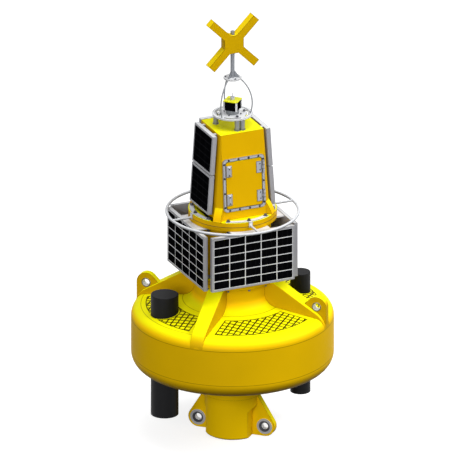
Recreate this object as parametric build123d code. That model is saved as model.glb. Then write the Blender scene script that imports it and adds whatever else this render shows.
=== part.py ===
# Metocean buoy: a foam-filled float with four ribs, a column with solar panels, an instrument tower and a topmark
# Millimetres. The origin is on the axis at the bottom of the tail tube, Z is up and the hatch looks along -Y.
from build123d import *
import math
import os

# Azimuths are in degrees, from -Y towards +X
MOORING_AZIMUTHS = (45, 225)
RIB_AZIMUTHS = (-45, 45, 135, 225)
SIDE_AZIMUTHS = (0, 90, 180, 270)

# General gaps
fit_gap = 0.3
cut_margin = 20

# Tail tube and mooring fins
tail_radius = 240
tail_height = 378
tail_edge_radius = 18
tail_flat_distance = 192
tail_flat_height = 240
tail_collar_radius = 264
tail_flare = 110
fin_thickness = 58
fin_boss_radius = 90
fin_eye_distance = 307
fin_eye_height = 92
fin_top_height = 372
fin_eye_bore = 30
fin_bush_radius = 49
fin_bush_collar_radius = 70
fin_bush_collar = 6
fin_bush_countersink = 12

# Hull moulding
hull_radius = 875
hull_bottom = 640
hull_skirt_bottom = 606
hull_skirt_radius = 400
hull_bottom_edge = 120
hull_shoulder = 100
deck_rim_height = 1163
deck_rise = 82
neck_radius = 330
neck_foot = 117
neck_rise = 205
flange_radius = 383
flange_thickness = 38

# Ribs of the hull, from the neck to the shoulder
rib_top_run = 411
rib_corner_rise = 5
rib_end_radius = 174
rib_inner_width = 142
rib_outer_width = 122
rib_edge_radius = 8

# Lifting lugs moulded on two of the ribs
lug_thickness = 58
lug_boss_radius = 88
lug_eye_rise = 109
lug_eye_bore = 33
lug_bush_radius = 40
lug_bush_proud = 3

# Instrument wells through the hull: name, side along X, radius
WELL_SIZES = (("well_large", -1, 120), ("well_small", 1, 87.5))
well_inset = 235
well_rise = 209
well_bottom = 262
well_wall = 10
well_edge_radius = 6

# Column
column_radius = 330
column_wall = 12
column_height = 549

# Deck solar panels round the column
deck_panel_width = 780
deck_panel_height = 498
deck_panel_depth = 35
deck_panel_distance = 442
deck_panel_top_drop = 34
panel_lip = 18
panel_recess = 1
laminate_thickness = 4
bracket_width = 360
bracket_thickness = 14
bracket_inner = 240

# Tower
tower_height = 770
tower_half_top = 205
tower_slope = 0.068
tower_flat_half_bottom = 205
tower_flat_half_top = 200
tower_wall = 12
tower_floor = 12
corner_rib_width = 73
corner_rib_height = 113
corner_rib_inset = 2
corner_rib_radius = 330

# Tower solar panels: two on each of three faces
TOWER_PANEL_FACES = (("right", 90), ("back", 180), ("left", 270))
TOWER_PANEL_ROWS = (("upper", 1), ("lower", -1))
tower_panel_width = 388
tower_panel_height = 352
tower_panel_depth = 40
tower_panel_standoff = 26
tower_panel_gap = 12
tower_panel_rise = 403
rail_width = 30
rail_offset = 120

# Hatch on the front face
hatch_rise = 312
hatch_width = 390
hatch_height = 478
hatch_strip = 23
hatch_frame_thickness = 14
hatch_corner_radius = 32
hatch_gap = 5
gasket_thickness = 5
gasket_width = 18
door_thickness = 8
hinge_heights = (-129, 129)
hinge_height = 104
hinge_barrel_radius = 9
hinge_pin_radius = 4
hinge_pin_gap = 0.05
hinge_knuckle_gap = 0.5
hinge_tongue_gap = 2
hinge_leaf_width = 50
hinge_leaf_thickness = 5
latch_width = 50
latch_height = 104
latch_depth = 24
latch_chamfer = 16

# Guard ring on four arms
guard_radius = 569
guard_tube = 12.5
guard_drop = 31
guard_arm_radius = 10
strap_inner_radius = 330
strap_outer_radius = 372
strap_half_angle = 33
strap_thickness = 6
strap_tab_width = 34
strap_tab_thickness = 8
strap_tab_drop = 50

# Instrument deck on the tower
STANDOFF_AZIMUTHS = (-8, 12, 120, 240)
standoff_radius = 22
standoff_circle = 145
standoff_height = 98
standoff_foot_radius = 27
standoff_foot_height = 8
top_plate_radius = 175
top_plate_thickness = 12
top_plate_rim = 4
PLATE_SLOT_AZIMUTHS = (-24, 66, 156, 246)
plate_slot_circle = 132
plate_slot_width = 14
plate_slot_angle = 60
lantern_base_radius = 56
lantern_base_height = 38
lantern_side = 114
lantern_height = 81
lantern_post = 14
lantern_lid_side = 128
lantern_lid_thickness = 9
lantern_lens_radius = 20
lantern_lens_height = 26
lantern_spike_radius = 3
lantern_spike_height = 30

# Cage, mast and topmark
CAGE_AZIMUTHS = (-60, 60, 180)
cage_rod_radius = 6
cage_foot_circle = 154
cage_head_circle = 68
cage_height = 318
cage_bulge = 52
cage_disc_radius = 78
cage_disc_thickness = 12
mast_radius = 18
mast_height = 428
mast_gusset_height = 64
mast_gusset_reach = 66
mast_gusset_thickness = 6
topmark_half_span = 297
topmark_arm_width = 70
topmark_thickness = 76
topmark_hub_half = 90
topmark_centre_drop = 106
topmark_notch_radius = 60

# Places that follow from the sizes above, from the hull up
deck_neck_height = deck_rim_height + deck_rise
neck_top = deck_neck_height + neck_rise
rib_corner_height = deck_rim_height + rib_corner_rise
rib_root_height = deck_rim_height - rib_end_radius
lug_eye_distance = hull_radius - lug_boss_radius
lug_eye_height = deck_rim_height + lug_eye_rise
well_top = deck_rim_height + well_rise
WELLS = [(name, side * (hull_radius - well_inset), radius) for name, side, radius in WELL_SIZES]
lower_joint = neck_top + flange_thickness
upper_joint = lower_joint + column_height
tower_base = upper_joint + flange_thickness
tower_top = tower_base + tower_height
hatch_middle = tower_base + hatch_rise
tower_panel_middle = tower_base + tower_panel_rise
guard_height = tower_base - guard_drop
plate_bottom = tower_top + standoff_height
plate_top = plate_bottom + top_plate_thickness
disc_bottom = plate_top + cage_height
disc_top = disc_bottom + cage_disc_thickness
mast_top = disc_top + mast_height
tower_tilt = math.degrees(math.atan(tower_slope))

# A vertical plane through the axis: first coordinate outwards along -Y, second up
RADIAL = Plane(origin=(0, 0, 0), x_dir=(0, -1, 0), z_dir=(-1, 0, 0))


def turned(shape, azimuth):
    """The shape, built looking along -Y, turned to an azimuth."""
    return Rot(0, 0, azimuth) * shape


def outline(points, fillets=()):
    """A face through corner points, with (index, radius) fillets."""
    face = make_face(Polyline(*points, close=True))
    for index, radius in fillets:
        corner = Vector(*points[index])
        vertex = face.vertices().sort_by(lambda v: (Vector(v.X, v.Y) - corner).length)[0]
        face = fillet(vertex, radius)
    return face


def slab(points, width, fillets=()):
    """A flat plate in the radial plane, with (index, radius) fillets at its corners."""
    return extrude(RADIAL * outline(points, fillets), width / 2, both=True)


def spun(points, fillets=()):
    """A body of revolution about Z from (radius, height) corners with (index, radius) fillets."""
    return revolve(Plane.XZ * outline(points, fillets), Axis.Z)


def disc(radius, bottom, top, x=0, y=0):
    """An upright cylinder between two heights."""
    return Pos(x, y, bottom) * extrude(Circle(radius), top - bottom)


def cross_bore(radius, distance, height, length):
    """A cylinder across the radial plane, at a distance and height, along X."""
    return Pos(0, -distance, height) * Rot(0, 90, 0) * Cylinder(radius, length)


def save(name, *solids):
    """Write one node; its solids don't touch each other."""
    shape = solids[0] if len(solids) == 1 else Compound(children=list(solids))
    export_step(shape, f"parts/{name}.step")


def tail_tube():
    """The tail tube with its collar, flared to the hull, and a flat with a sloping ceiling on each mooring side."""
    flare_start = hull_skirt_bottom - tail_flare
    profile = outline(
        [
            (0, 0),
            (tail_radius, 0),
            (tail_radius, tail_height),
            (tail_collar_radius, tail_height),
            (tail_collar_radius, flare_start),
            (tail_collar_radius + tail_flare, flare_start),
            (tail_collar_radius + tail_flare, hull_skirt_bottom),
            (0, hull_skirt_bottom),
        ],
        [(1, tail_edge_radius)],
    )
    profile -= Pos(tail_collar_radius + tail_flare, flare_start) * Circle(tail_flare)
    tube = revolve(Plane.XZ * profile, Axis.Z)
    outer = tail_radius + cut_margin
    ceiling = tail_flat_height + outer - tail_flat_distance
    pocket = slab(
        [
            (tail_flat_distance, -cut_margin),
            (outer, -cut_margin),
            (outer, ceiling),
            (tail_flat_distance, tail_flat_height),
        ],
        2 * outer,
    )
    for azimuth in MOORING_AZIMUTHS:
        tube -= turned(pocket, azimuth)
    return tube


def plate_with_boss(points, boss_radius, distance, height, thickness):
    """A plate in the radial plane that ends in a round boss."""
    boss = cross_bore(boss_radius, distance, height, thickness)
    return slab(points, thickness) + boss


def tangent_point(distance, height, radius, angle):
    """The point of a boss at an angle from the outward direction."""
    turn = math.radians(angle)
    return (distance + radius * math.cos(turn), height + radius * math.sin(turn))


def mooring_fin(tube):
    """A mooring fin that seats on the tail tube's flat, with its eye bored."""
    run = fin_eye_distance - tail_radius
    rise = fin_top_height - fin_eye_height
    reach = math.hypot(run, rise)
    tangent = math.degrees(math.atan2(rise, -run)) - math.degrees(math.acos(fin_boss_radius / reach))
    base = fin_eye_height - fin_boss_radius
    points = [
        (tail_flat_distance - cut_margin, base),
        (fin_eye_distance, base),
        tangent_point(fin_eye_distance, fin_eye_height, fin_boss_radius, tangent),
        (tail_radius, fin_top_height),
        (tail_flat_distance - cut_margin, fin_top_height),
    ]
    fin = plate_with_boss(points, fin_boss_radius, fin_eye_distance, fin_eye_height, fin_thickness)
    fin -= cross_bore(fin_bush_radius + fit_gap, fin_eye_distance, fin_eye_height, 2 * fin_thickness)
    return fin


def eye_bush(radius, bore, collar_radius, collar, thickness, distance, height, countersink):
    """A steel bush through a plate, with a collar on each face."""
    length = thickness + 2 * collar
    bush = cross_bore(radius, distance, height, length)
    for side in (-1, 1):
        ring = Pos(side * (thickness + collar) / 2, 0, 0) * cross_bore(collar_radius, distance, height, collar)
        bush += ring
    bush -= cross_bore(bore, distance, height, 2 * length)
    if countersink:
        for side in (-1, 1):
            sink = Cone(bore, bore + countersink, countersink)
            seat = side * (length - countersink) / 2
            bush -= Pos(seat, -distance, height) * Rot(0, side * 90, 0) * sink
    return bush


def deck_height(radius):
    """Height of the conical deck at a radius."""
    slope = (deck_neck_height - deck_rim_height) / (hull_radius - neck_radius)
    return deck_rim_height + slope * (hull_radius - radius)


def hull_rib():
    """One moulded rib, from under the neck's flange round into the hull's side, narrower at its outer end."""
    rib = slab(
        [
            (neck_radius - cut_margin, neck_top),
            (rib_top_run, neck_top),
            (hull_radius, rib_corner_height),
            (hull_radius, rib_root_height),
            (neck_radius - cut_margin, rib_root_height),
        ],
        rib_inner_width,
        [(2, rib_end_radius)],
    )
    inner = rib_inner_width / 2
    outer = rib_outer_width / 2
    plan = make_face(
        Polyline(
            (-inner, 0),
            (-inner, -rib_top_run),
            (-outer, -hull_radius - cut_margin),
            (outer, -hull_radius - cut_margin),
            (inner, -rib_top_run),
            (inner, 0),
            close=True,
        )
    )
    rib &= extrude(plan, neck_top + cut_margin)
    top_edges = [
        edge
        for edge in rib.edges()
        if edge.center().Z > rib_root_height
        and abs(edge.center().X) > outer - 1
        and abs(edge.center().Y) > neck_radius
        and edge.bounding_box().size.Y > 1
    ]
    return fillet(top_edges, rib_edge_radius)


def lifting_lug():
    """One lug on a rib: a round boss with a straight outer edge and a 45 degree inner edge."""
    inner = tangent_point(lug_eye_distance, lug_eye_height, lug_boss_radius, 135)
    drop = inner[1] - deck_rim_height
    points = [
        inner,
        (lug_eye_distance, lug_eye_height),
        (hull_radius, lug_eye_height),
        (hull_radius, rib_root_height),
        (inner[0] - drop, rib_root_height),
        (inner[0] - drop, deck_rim_height),
    ]
    return plate_with_boss(points, lug_boss_radius, lug_eye_distance, lug_eye_height, lug_thickness)


def hull():
    """The hull moulding: float, deck, neck and flange, with the wells' bores."""
    body = spun(
        [
            (0, lower_joint),
            (flange_radius, lower_joint),
            (flange_radius, neck_top),
            (neck_radius, neck_top),
            (neck_radius, deck_neck_height),
            (hull_radius, deck_rim_height),
            (hull_radius, hull_bottom),
            (hull_skirt_radius, hull_skirt_bottom),
            (0, hull_skirt_bottom),
        ],
        [(4, neck_foot), (5, hull_shoulder), (6, hull_bottom_edge)],
    )
    for _, x, radius in WELLS:
        body -= disc(radius + fit_gap, 0, well_top, x)
    return body


def hull_ribs(body):
    """The four ribs, two with a lifting lug, each seated on the hull and flush with its side."""
    plain = hull_rib()
    eye = cross_bore(lug_bush_radius + fit_gap, lug_eye_distance, lug_eye_height, 2 * rib_inner_width)
    lugged = plain + lifting_lug() - eye
    limit = disc(hull_radius, 0, lower_joint)
    ribs = []
    for azimuth in RIB_AZIMUTHS:
        rib = lugged if azimuth in MOORING_AZIMUTHS else plain
        ribs.append(turned(rib, azimuth) & limit)
    return [rib - body for rib in ribs]


def well(x, radius):
    """A black pipe through the hull, closed on top and open below."""
    pipe = spun(
        [
            (0, well_top),
            (radius, well_top),
            (radius, well_bottom),
            (radius - well_wall, well_bottom),
            (radius - well_wall, well_top - well_wall),
            (0, well_top - well_wall),
        ],
        [(1, well_edge_radius)],
    )
    return Pos(x, 0, 0) * pipe


def column():
    """The tube between the hull and the tower, with a flange at each end."""
    inner = column_radius - column_wall
    low = lower_joint + flange_thickness
    high = upper_joint - flange_thickness
    return spun(
        [
            (inner, lower_joint),
            (flange_radius, lower_joint),
            (flange_radius, low),
            (column_radius, low),
            (column_radius, high),
            (flange_radius, high),
            (flange_radius, upper_joint),
            (inner, upper_joint),
        ]
    )


def panel(width, height, depth):
    """A panel's tray and laminate: front in the XY plane facing +Z, depth behind it."""
    tray = extrude(Rectangle(width, height), -depth)
    seat_width = width - 2 * panel_lip
    seat_height = height - 2 * panel_lip
    tray -= extrude(Rectangle(seat_width, seat_height), -laminate_thickness - panel_recess)
    laminate = extrude(Rectangle(seat_width - 2 * fit_gap, seat_height - 2 * fit_gap), -laminate_thickness)
    laminate = Pos(0, 0, -panel_recess) * laminate
    return tray, laminate


def deck_panel(azimuth):
    """Tray and laminate of one upright panel beside the column."""
    top = upper_joint - deck_panel_top_drop
    place = Plane(
        origin=(0, -deck_panel_distance, top - deck_panel_height / 2),
        x_dir=(1, 0, 0),
        z_dir=(0, -1, 0),
    )
    return [turned(place * piece, azimuth) for piece in panel(deck_panel_width, deck_panel_height, deck_panel_depth)]


def panel_bracket(bottom):
    """A flat bracket from the column to the back of a panel."""
    back = deck_panel_distance - deck_panel_depth
    plate = Pos(0, -(back + bracket_inner) / 2, bottom + bracket_thickness / 2) * Box(
        bracket_width, back - bracket_inner, bracket_thickness
    )
    return plate - disc(column_radius + fit_gap, bottom - 1, bottom + bracket_thickness + 1)


def tower_face(height):
    """Distance of a tower face from the axis at a height."""
    return tower_half_top + tower_slope * (tower_top - height)


def tapered_tower(inset, bottom, top):
    """The tower's form between two heights, inside its skin by an inset."""
    levels = (bottom, top)
    flats = []
    corners = []
    for level in levels:
        face = tower_face(level) - inset
        share = (level - tower_base) / (tower_top - tower_base)
        flat = tower_flat_half_bottom + share * (tower_flat_half_top - tower_flat_half_bottom)
        corner = (tower_face(level) + flat) / math.sqrt(2) - inset
        flats.append(Pos(0, 0, level) * Rectangle(2 * face, 2 * face))
        corners.append(Pos(0, 0, level) * Rot(0, 0, 45) * Rectangle(2 * corner, 2 * corner))
    return loft(flats, ruled=True) & loft(corners, ruled=True)


def face_plane(height, azimuth=0):
    """The outside plane of a tower face at a height: X across, Y up the face, Z outwards."""
    tilt = math.radians(tower_tilt)
    turn = math.radians(azimuth)
    side = (math.cos(turn), math.sin(turn), 0)
    out = (math.sin(turn) * math.cos(tilt), -math.cos(turn) * math.cos(tilt), math.sin(tilt))
    distance = tower_face(height)
    origin = (math.sin(turn) * distance, -math.cos(turn) * distance, height)
    return Plane(origin=origin, x_dir=side, z_dir=out)


def door_size():
    """Width and height of the hatch door."""
    inset = 2 * (hatch_strip + hatch_gap)
    return hatch_width - inset, hatch_height - inset


def tower():
    """The hollow tower on its round flange, with corner ribs and the hatch's opening."""
    shell = tapered_tower(0, tower_base - tower_floor, tower_top)
    shell += disc(flange_radius, upper_joint, tower_base)
    corner = (tower_face(tower_base + corner_rib_height) + tower_flat_half_bottom) / math.sqrt(2)
    start = (flange_radius - corner_rib_inset, tower_base)
    end = (corner - 1, tower_base + corner_rib_height)
    curve = RadiusArc(start, end, -corner_rib_radius)
    inside = corner - 3 * tower_wall / 2
    outline = Polyline(end, (inside, end[1]), (inside, tower_base), start)
    rib = extrude(RADIAL * make_face(curve + outline), corner_rib_width / 2, both=True)
    for azimuth in RIB_AZIMUTHS:
        shell += turned(rib, azimuth)
    shell -= tapered_tower(tower_wall, upper_joint + tower_floor, tower_top - tower_wall)
    door_width, door_height = door_size()
    opening = RectangleRounded(
        door_width - 2 * gasket_width,
        door_height - 2 * gasket_width,
        hatch_corner_radius - gasket_width / 2,
    )
    cut = extrude(face_plane(hatch_middle) * opening, 3 * tower_wall, both=True)
    return shell - cut


def hatch_frame():
    """The bolted frame round the hatch."""
    inner_radius = hatch_corner_radius - hatch_strip / 2
    ring = RectangleRounded(hatch_width, hatch_height, hatch_corner_radius)
    ring -= RectangleRounded(hatch_width - 2 * hatch_strip, hatch_height - 2 * hatch_strip, inner_radius)
    return face_plane(hatch_middle) * extrude(ring, hatch_frame_thickness)


def hatch_gasket():
    """The rubber gasket that the door closes on."""
    width, height = door_size()
    radius = hatch_corner_radius - gasket_width / 2
    ring = RectangleRounded(width, height, radius)
    ring -= RectangleRounded(width - 2 * gasket_width, height - 2 * gasket_width, radius)
    return face_plane(hatch_middle) * extrude(ring, gasket_thickness)


def hinge_axis():
    """Hinge axis in the hatch's plane: X across and Z outwards."""
    across = (hatch_width - hatch_strip) / 2
    return across, hatch_frame_thickness + hinge_barrel_radius + 1


def hinge_parts(height):
    """The door's leaf and the frame's leaf with pin, of one hinge, in the hatch's plane."""
    across, out = hinge_axis()
    knuckle = hinge_height / 3

    def barrel(low, high):
        return Pos(across, height + low, out) * Rot(-90, 0, 0) * extrude(Circle(hinge_barrel_radius), high - low)

    door_out = gasket_thickness + fit_gap + door_thickness
    half = hinge_height / 2
    middle = knuckle / 2 - hinge_knuckle_gap
    edge = door_size()[0] / 2
    leaf = Pos(edge - hinge_leaf_width / 2, height, door_out + hinge_leaf_thickness / 2) * Box(
        hinge_leaf_width, hinge_height, hinge_leaf_thickness
    )
    tongue_bottom = hatch_frame_thickness + hinge_tongue_gap
    tongue_start = edge - hinge_leaf_thickness
    tongue = Pos((tongue_start + across) / 2, height, (tongue_bottom + out) / 2) * Box(
        across - tongue_start, 2 * middle, out - tongue_bottom
    )
    door_leaf = leaf + tongue + barrel(-middle, middle)
    door_leaf -= Pos(across, height, out) * Rot(-90, 0, 0) * Cylinder(hinge_pin_radius + hinge_pin_gap, 2 * half)
    root_depth = out - hatch_frame_thickness
    frame_leaf = Pos(across, height, out) * Rot(-90, 0, 0) * Cylinder(hinge_pin_radius, hinge_height)
    for low, high in ((-half, -knuckle / 2), (knuckle / 2, half)):
        frame_leaf += barrel(low, high)
        foot = Box(hinge_barrel_radius, high - low, root_depth)
        frame_leaf += Pos(across + hinge_barrel_radius / 2, height + (low + high) / 2, out - root_depth / 2) * foot
    return door_leaf, frame_leaf


def hatch_hinges():
    """Both hinges, as door leaves and frame leaves in place."""
    place = face_plane(hatch_middle)
    door_leaves = []
    frame_leaves = []
    for height in hinge_heights:
        door_leaf, frame_leaf = hinge_parts(height)
        door_leaves.append(place * door_leaf)
        frame_leaves.append(place * frame_leaf)
    return door_leaves, frame_leaves


def hatch_door():
    """The hatch's door plate."""
    width, height = door_size()
    plate = extrude(RectangleRounded(width, height, hatch_corner_radius - hatch_strip / 2), door_thickness)
    return face_plane(hatch_middle) * Pos(0, 0, gasket_thickness + fit_gap) * plate


def hatch_latches():
    """Two latch handles on the door's free side."""
    width, _ = door_size()
    base = gasket_thickness + fit_gap + door_thickness
    latches = []
    for height in hinge_heights:
        block = extrude(Rectangle(latch_width, latch_height), latch_depth)
        block = chamfer(block.faces().sort_by(Axis.Z)[-1].edges(), latch_chamfer)
        place = Pos(-(width - latch_width) / 2, height, base)
        latches.append(face_plane(hatch_middle) * place * block)
    return latches


def tower_panel(azimuth, row):
    """Tray and laminate of one of a face's two panels."""
    place = face_plane(tower_panel_middle, azimuth)
    lift = row * (tower_panel_height + tower_panel_gap) / 2
    stand = Pos(0, lift, tower_panel_standoff + tower_panel_depth)
    pieces = panel(tower_panel_width, tower_panel_height, tower_panel_depth)
    return [place * stand * piece for piece in pieces]


def tower_rails(azimuth):
    """The two rails behind a face's panels."""
    place = face_plane(tower_panel_middle, azimuth)
    length = 2 * tower_panel_height + tower_panel_gap
    rail = Box(rail_width, length, tower_panel_standoff)
    return [place * Pos(side * rail_offset, 0, tower_panel_standoff / 2) * rail for side in (-1, 1)]


def guard_ring():
    """The guard ring and its four arms, welded."""
    section = Plane.XZ * Pos(guard_radius, guard_height) * Circle(guard_tube)
    ring = revolve(section, Axis.Z)
    start = flange_radius + strap_tab_thickness
    length = guard_radius - guard_tube / 2 - start
    rim = Plane(origin=(0, -start, guard_height), z_dir=(0, -1, 0))
    arm = extrude(rim * Circle(guard_arm_radius), length)
    return ring + [turned(arm, azimuth) for azimuth in SIDE_AZIMUTHS]


def guard_strap():
    """A strap on the tower's flange, with a tab that drops past the rim to hold an arm."""
    high = tower_base + strap_thickness
    ring = disc(strap_outer_radius, tower_base, high) - disc(strap_inner_radius, tower_base, high)
    reach = 2 * flange_radius
    spread = reach * math.tan(math.radians(strap_half_angle))
    wedge = make_face(Polyline((0, 0), (spread, -reach), (-spread, -reach), close=True))
    strap = ring & Pos(0, 0, tower_base) * extrude(wedge, strap_thickness)
    outer = flange_radius + strap_tab_thickness
    middle = (strap_inner_radius + strap_outer_radius) / 2
    tongue = Pos(0, -(middle + outer) / 2, tower_base + strap_thickness / 2) * Box(
        strap_tab_width, outer - middle, strap_thickness
    )
    tab = Pos(0, -outer + strap_tab_thickness / 2, high - strap_tab_drop / 2) * Box(
        strap_tab_width, strap_tab_thickness, strap_tab_drop
    )
    strap += tongue
    tab -= disc(flange_radius, upper_joint - cut_margin, tower_base)
    return strap + tab


def standoff(azimuth):
    """A post between the tower's roof and the instrument plate."""
    post = disc(standoff_radius, tower_top, plate_bottom)
    post += disc(standoff_foot_radius, tower_top, tower_top + standoff_foot_height)
    return turned(Pos(0, -standoff_circle, 0) * post, azimuth)


def plate_slot():
    """The arc slot through the instrument plate for a sensor's cables."""
    half = math.radians(plate_slot_angle / 2)
    reach = (plate_slot_circle * math.sin(half), -plate_slot_circle * math.cos(half))
    path = ThreePointArc((-reach[0], reach[1]), (0, -plate_slot_circle), reach)
    return Pos(0, 0, plate_bottom - 1) * extrude(SlotArc(path, plate_slot_width), top_plate_thickness + 2)


def top_plate():
    """The round instrument plate, with a low raised rim and four arc slots."""
    edge = top_plate_radius
    step = edge - 2 * top_plate_thickness
    plate = spun(
        [
            (0, plate_bottom),
            (edge, plate_bottom),
            (edge, plate_top),
            (step, plate_top),
            (step, plate_top - top_plate_rim),
            (0, plate_top - top_plate_rim),
        ]
    )
    slot = plate_slot()
    for azimuth in PLATE_SLOT_AZIMUTHS:
        plate -= turned(slot, azimuth)
    return plate


def lantern():
    """Base, body, corner posts, lid and lens of the solar lantern, by name."""
    floor = plate_top - top_plate_rim
    bottom = floor + lantern_base_height
    top = bottom + lantern_height
    roof = top + lantern_lid_thickness
    body = Pos(0, 0, (bottom + top) / 2) * Box(lantern_side, lantern_side, lantern_height)
    posts = []
    for x in (-1, 1):
        for y in (-1, 1):
            corner = Pos(x * lantern_side / 2, y * lantern_side / 2, (bottom + top) / 2)
            post = corner * Box(lantern_post, lantern_post, lantern_height)
            body -= post
            posts.append(turned(post, 45))
    lid = Pos(0, 0, top) * extrude(Rectangle(lantern_lid_side, lantern_lid_side), lantern_lid_thickness)
    lid = chamfer(lid.faces().sort_by(Axis.Z)[-1].edges(), lantern_lid_thickness / 3)
    lens_top = roof + lantern_lens_height
    lens = disc(lantern_lens_radius, roof, lens_top)
    lens = fillet(lens.faces().sort_by(Axis.Z)[-1].edges(), lantern_lens_radius / 3)
    lens += disc(lantern_spike_radius, lens_top - lantern_lens_height / 2, lens_top + lantern_spike_height)
    return {
        "lantern_base": [disc(lantern_base_radius, floor, bottom)],
        "lantern_body": [turned(body, 45)],
        "lantern_posts": posts,
        "lantern_lid": [turned(lid, 45)],
        "lantern_lens": [lens],
    }


def cage_rod(azimuth):
    """A bent rod from the instrument plate's rim up to the mast's disc."""
    start = (cage_foot_circle, plate_top)
    end = (cage_head_circle, disc_bottom)
    chord = Vector(end[0] - start[0], end[1] - start[1])
    middle = Vector((start[0] + end[0]) / 2, (start[1] + end[1]) / 2)
    side = Vector(chord.Y, -chord.X).normalized() * cage_bulge
    path = RADIAL * ThreePointArc(start, (middle.X + side.X, middle.Y + side.Y), end)
    section = Plane(origin=path @ 0, z_dir=path % 0) * Circle(cage_rod_radius)
    rod = sweep(section, path)
    rod &= disc(flange_radius, plate_top, disc_bottom)
    return turned(rod, azimuth)


def mast_gusset(azimuth):
    """A triangular gusset between the disc and the mast."""
    points = [
        (mast_radius - 1, disc_top),
        (mast_gusset_reach, disc_top),
        (mast_radius - 1, disc_top + mast_gusset_height),
    ]
    return turned(slab(points, mast_gusset_thickness), azimuth)


def topmark():
    """The flat cross with a square hub, bored for the mast and notched round where the mast ends."""
    centre = mast_top - topmark_centre_drop
    face = Rectangle(2 * topmark_hub_half, 2 * topmark_hub_half) + [
        Rot(0, 0, angle) * Rectangle(2 * topmark_half_span, topmark_arm_width) for angle in (45, 135)
    ]
    valley = topmark_arm_width / math.sqrt(2)
    notch_centre = valley + topmark_notch_radius * math.sqrt(2)
    wedge = make_face(
        Polyline(
            (0, valley),
            (topmark_half_span, valley + topmark_half_span),
            (-topmark_half_span, valley + topmark_half_span),
            close=True,
        )
    )
    tip = valley + topmark_notch_radius * (math.sqrt(2) - 1)
    side = topmark_notch_radius / math.sqrt(2)
    arc = ThreePointArc((-side, notch_centre - side), (0, tip), (side, notch_centre - side))
    root = make_face(arc + Polyline((side, notch_centre - side), (0, valley), (-side, notch_centre - side)))
    face -= wedge
    face += root
    place = Plane(origin=(0, 0, centre), x_dir=(1, 0, 0), z_dir=(0, -1, 0))
    slab_body = extrude(place * face, topmark_thickness / 2, both=True)
    return slab_body - disc(mast_radius + fit_gap, centre - topmark_half_span, mast_top + cut_margin)


os.makedirs("parts", exist_ok=True)

tail = tail_tube()
fins = [turned(mooring_fin(tail), azimuth) - tail for azimuth in MOORING_AZIMUTHS]
fin_bush = eye_bush(
    fin_bush_radius,
    fin_eye_bore,
    fin_bush_collar_radius,
    fin_bush_collar,
    fin_thickness,
    fin_eye_distance,
    fin_eye_height,
    fin_bush_countersink,
)
lug_bush = eye_bush(
    lug_bush_radius,
    lug_eye_bore,
    lug_bush_radius,
    lug_bush_proud,
    lug_thickness,
    lug_eye_distance,
    lug_eye_height,
    0,
)
hull_body = hull()
save("hull", hull_body)
save("hull_ribs", *hull_ribs(hull_body))
save("tail_tube", tail)
save("mooring_fins", *fins)
save("mooring_bushes", *[turned(fin_bush, azimuth) for azimuth in MOORING_AZIMUTHS])
save("lifting_bushes", *[turned(lug_bush, azimuth) for azimuth in MOORING_AZIMUTHS])
for name, x, radius in WELLS:
    save(name, well(x, radius))

save("column", column())
deck_laminates = []
for name, azimuth in zip(("front", "right", "back", "left"), SIDE_AZIMUTHS):
    tray, laminate = deck_panel(azimuth)
    save(f"deck_panel_{name}", tray)
    deck_laminates.append(laminate)
save("deck_cells", *deck_laminates)
bracket_levels = (
    ("deck_brackets_lower", lower_joint + flange_thickness),
    ("deck_brackets_upper", upper_joint - flange_thickness - bracket_thickness),
)
for name, level in bracket_levels:
    save(name, *[turned(panel_bracket(level), azimuth) for azimuth in SIDE_AZIMUTHS])

save("tower", tower())
save("hatch_frame", hatch_frame())
save("hatch_gasket", hatch_gasket())
save("hatch_door", hatch_door())
door_leaves, frame_leaves = hatch_hinges()
save("hinge_door_leaves", *door_leaves)
save("hinge_frame_leaves", *frame_leaves)
save("hatch_latches", *hatch_latches())

tower_laminates = []
for name, azimuth in TOWER_PANEL_FACES:
    for row_name, row in TOWER_PANEL_ROWS:
        tray, laminate = tower_panel(azimuth, row)
        save(f"tower_panel_{name}_{row_name}", tray)
        tower_laminates.append(laminate)
    save(f"tower_rails_{name}", *tower_rails(azimuth))
save("tower_cells", *tower_laminates)

save("guard_ring", guard_ring())
save("guard_straps", *[turned(guard_strap(), azimuth) for azimuth in SIDE_AZIMUTHS])

save("top_standoffs", *[standoff(azimuth) for azimuth in STANDOFF_AZIMUTHS])
save("top_plate", top_plate())
for name, solids in lantern().items():
    save(name, *solids)
save("cage_rods", *[cage_rod(azimuth) for azimuth in CAGE_AZIMUTHS])
save("cage_disc", disc(cage_disc_radius, disc_bottom, disc_top))
mast = disc(mast_radius, disc_top, mast_top)
save("mast", mast)
save("mast_gussets", *[mast_gusset(azimuth) - mast for azimuth in CAGE_AZIMUTHS])
save("topmark", topmark())
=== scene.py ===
"""The looks of a metocean buoy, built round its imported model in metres."""

import logging
import math
from dataclasses import dataclass, field, replace
from enum import Enum
from typing import Any, Sequence

import bmesh
import bpy
from mathutils import Matrix, Vector


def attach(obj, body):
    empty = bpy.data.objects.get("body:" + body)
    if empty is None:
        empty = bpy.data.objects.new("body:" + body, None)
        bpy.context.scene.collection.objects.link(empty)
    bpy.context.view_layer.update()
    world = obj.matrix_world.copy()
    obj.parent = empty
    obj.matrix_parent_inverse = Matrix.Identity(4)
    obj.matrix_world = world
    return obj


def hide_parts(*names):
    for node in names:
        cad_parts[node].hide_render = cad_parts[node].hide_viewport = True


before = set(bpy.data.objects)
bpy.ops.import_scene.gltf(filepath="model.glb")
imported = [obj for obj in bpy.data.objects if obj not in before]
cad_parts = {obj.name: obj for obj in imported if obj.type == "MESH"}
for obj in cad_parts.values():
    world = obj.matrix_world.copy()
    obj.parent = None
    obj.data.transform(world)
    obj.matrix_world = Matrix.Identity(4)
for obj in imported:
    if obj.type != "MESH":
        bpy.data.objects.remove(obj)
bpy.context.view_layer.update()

LOG = logging.getLogger("metocean_buoy")

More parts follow.
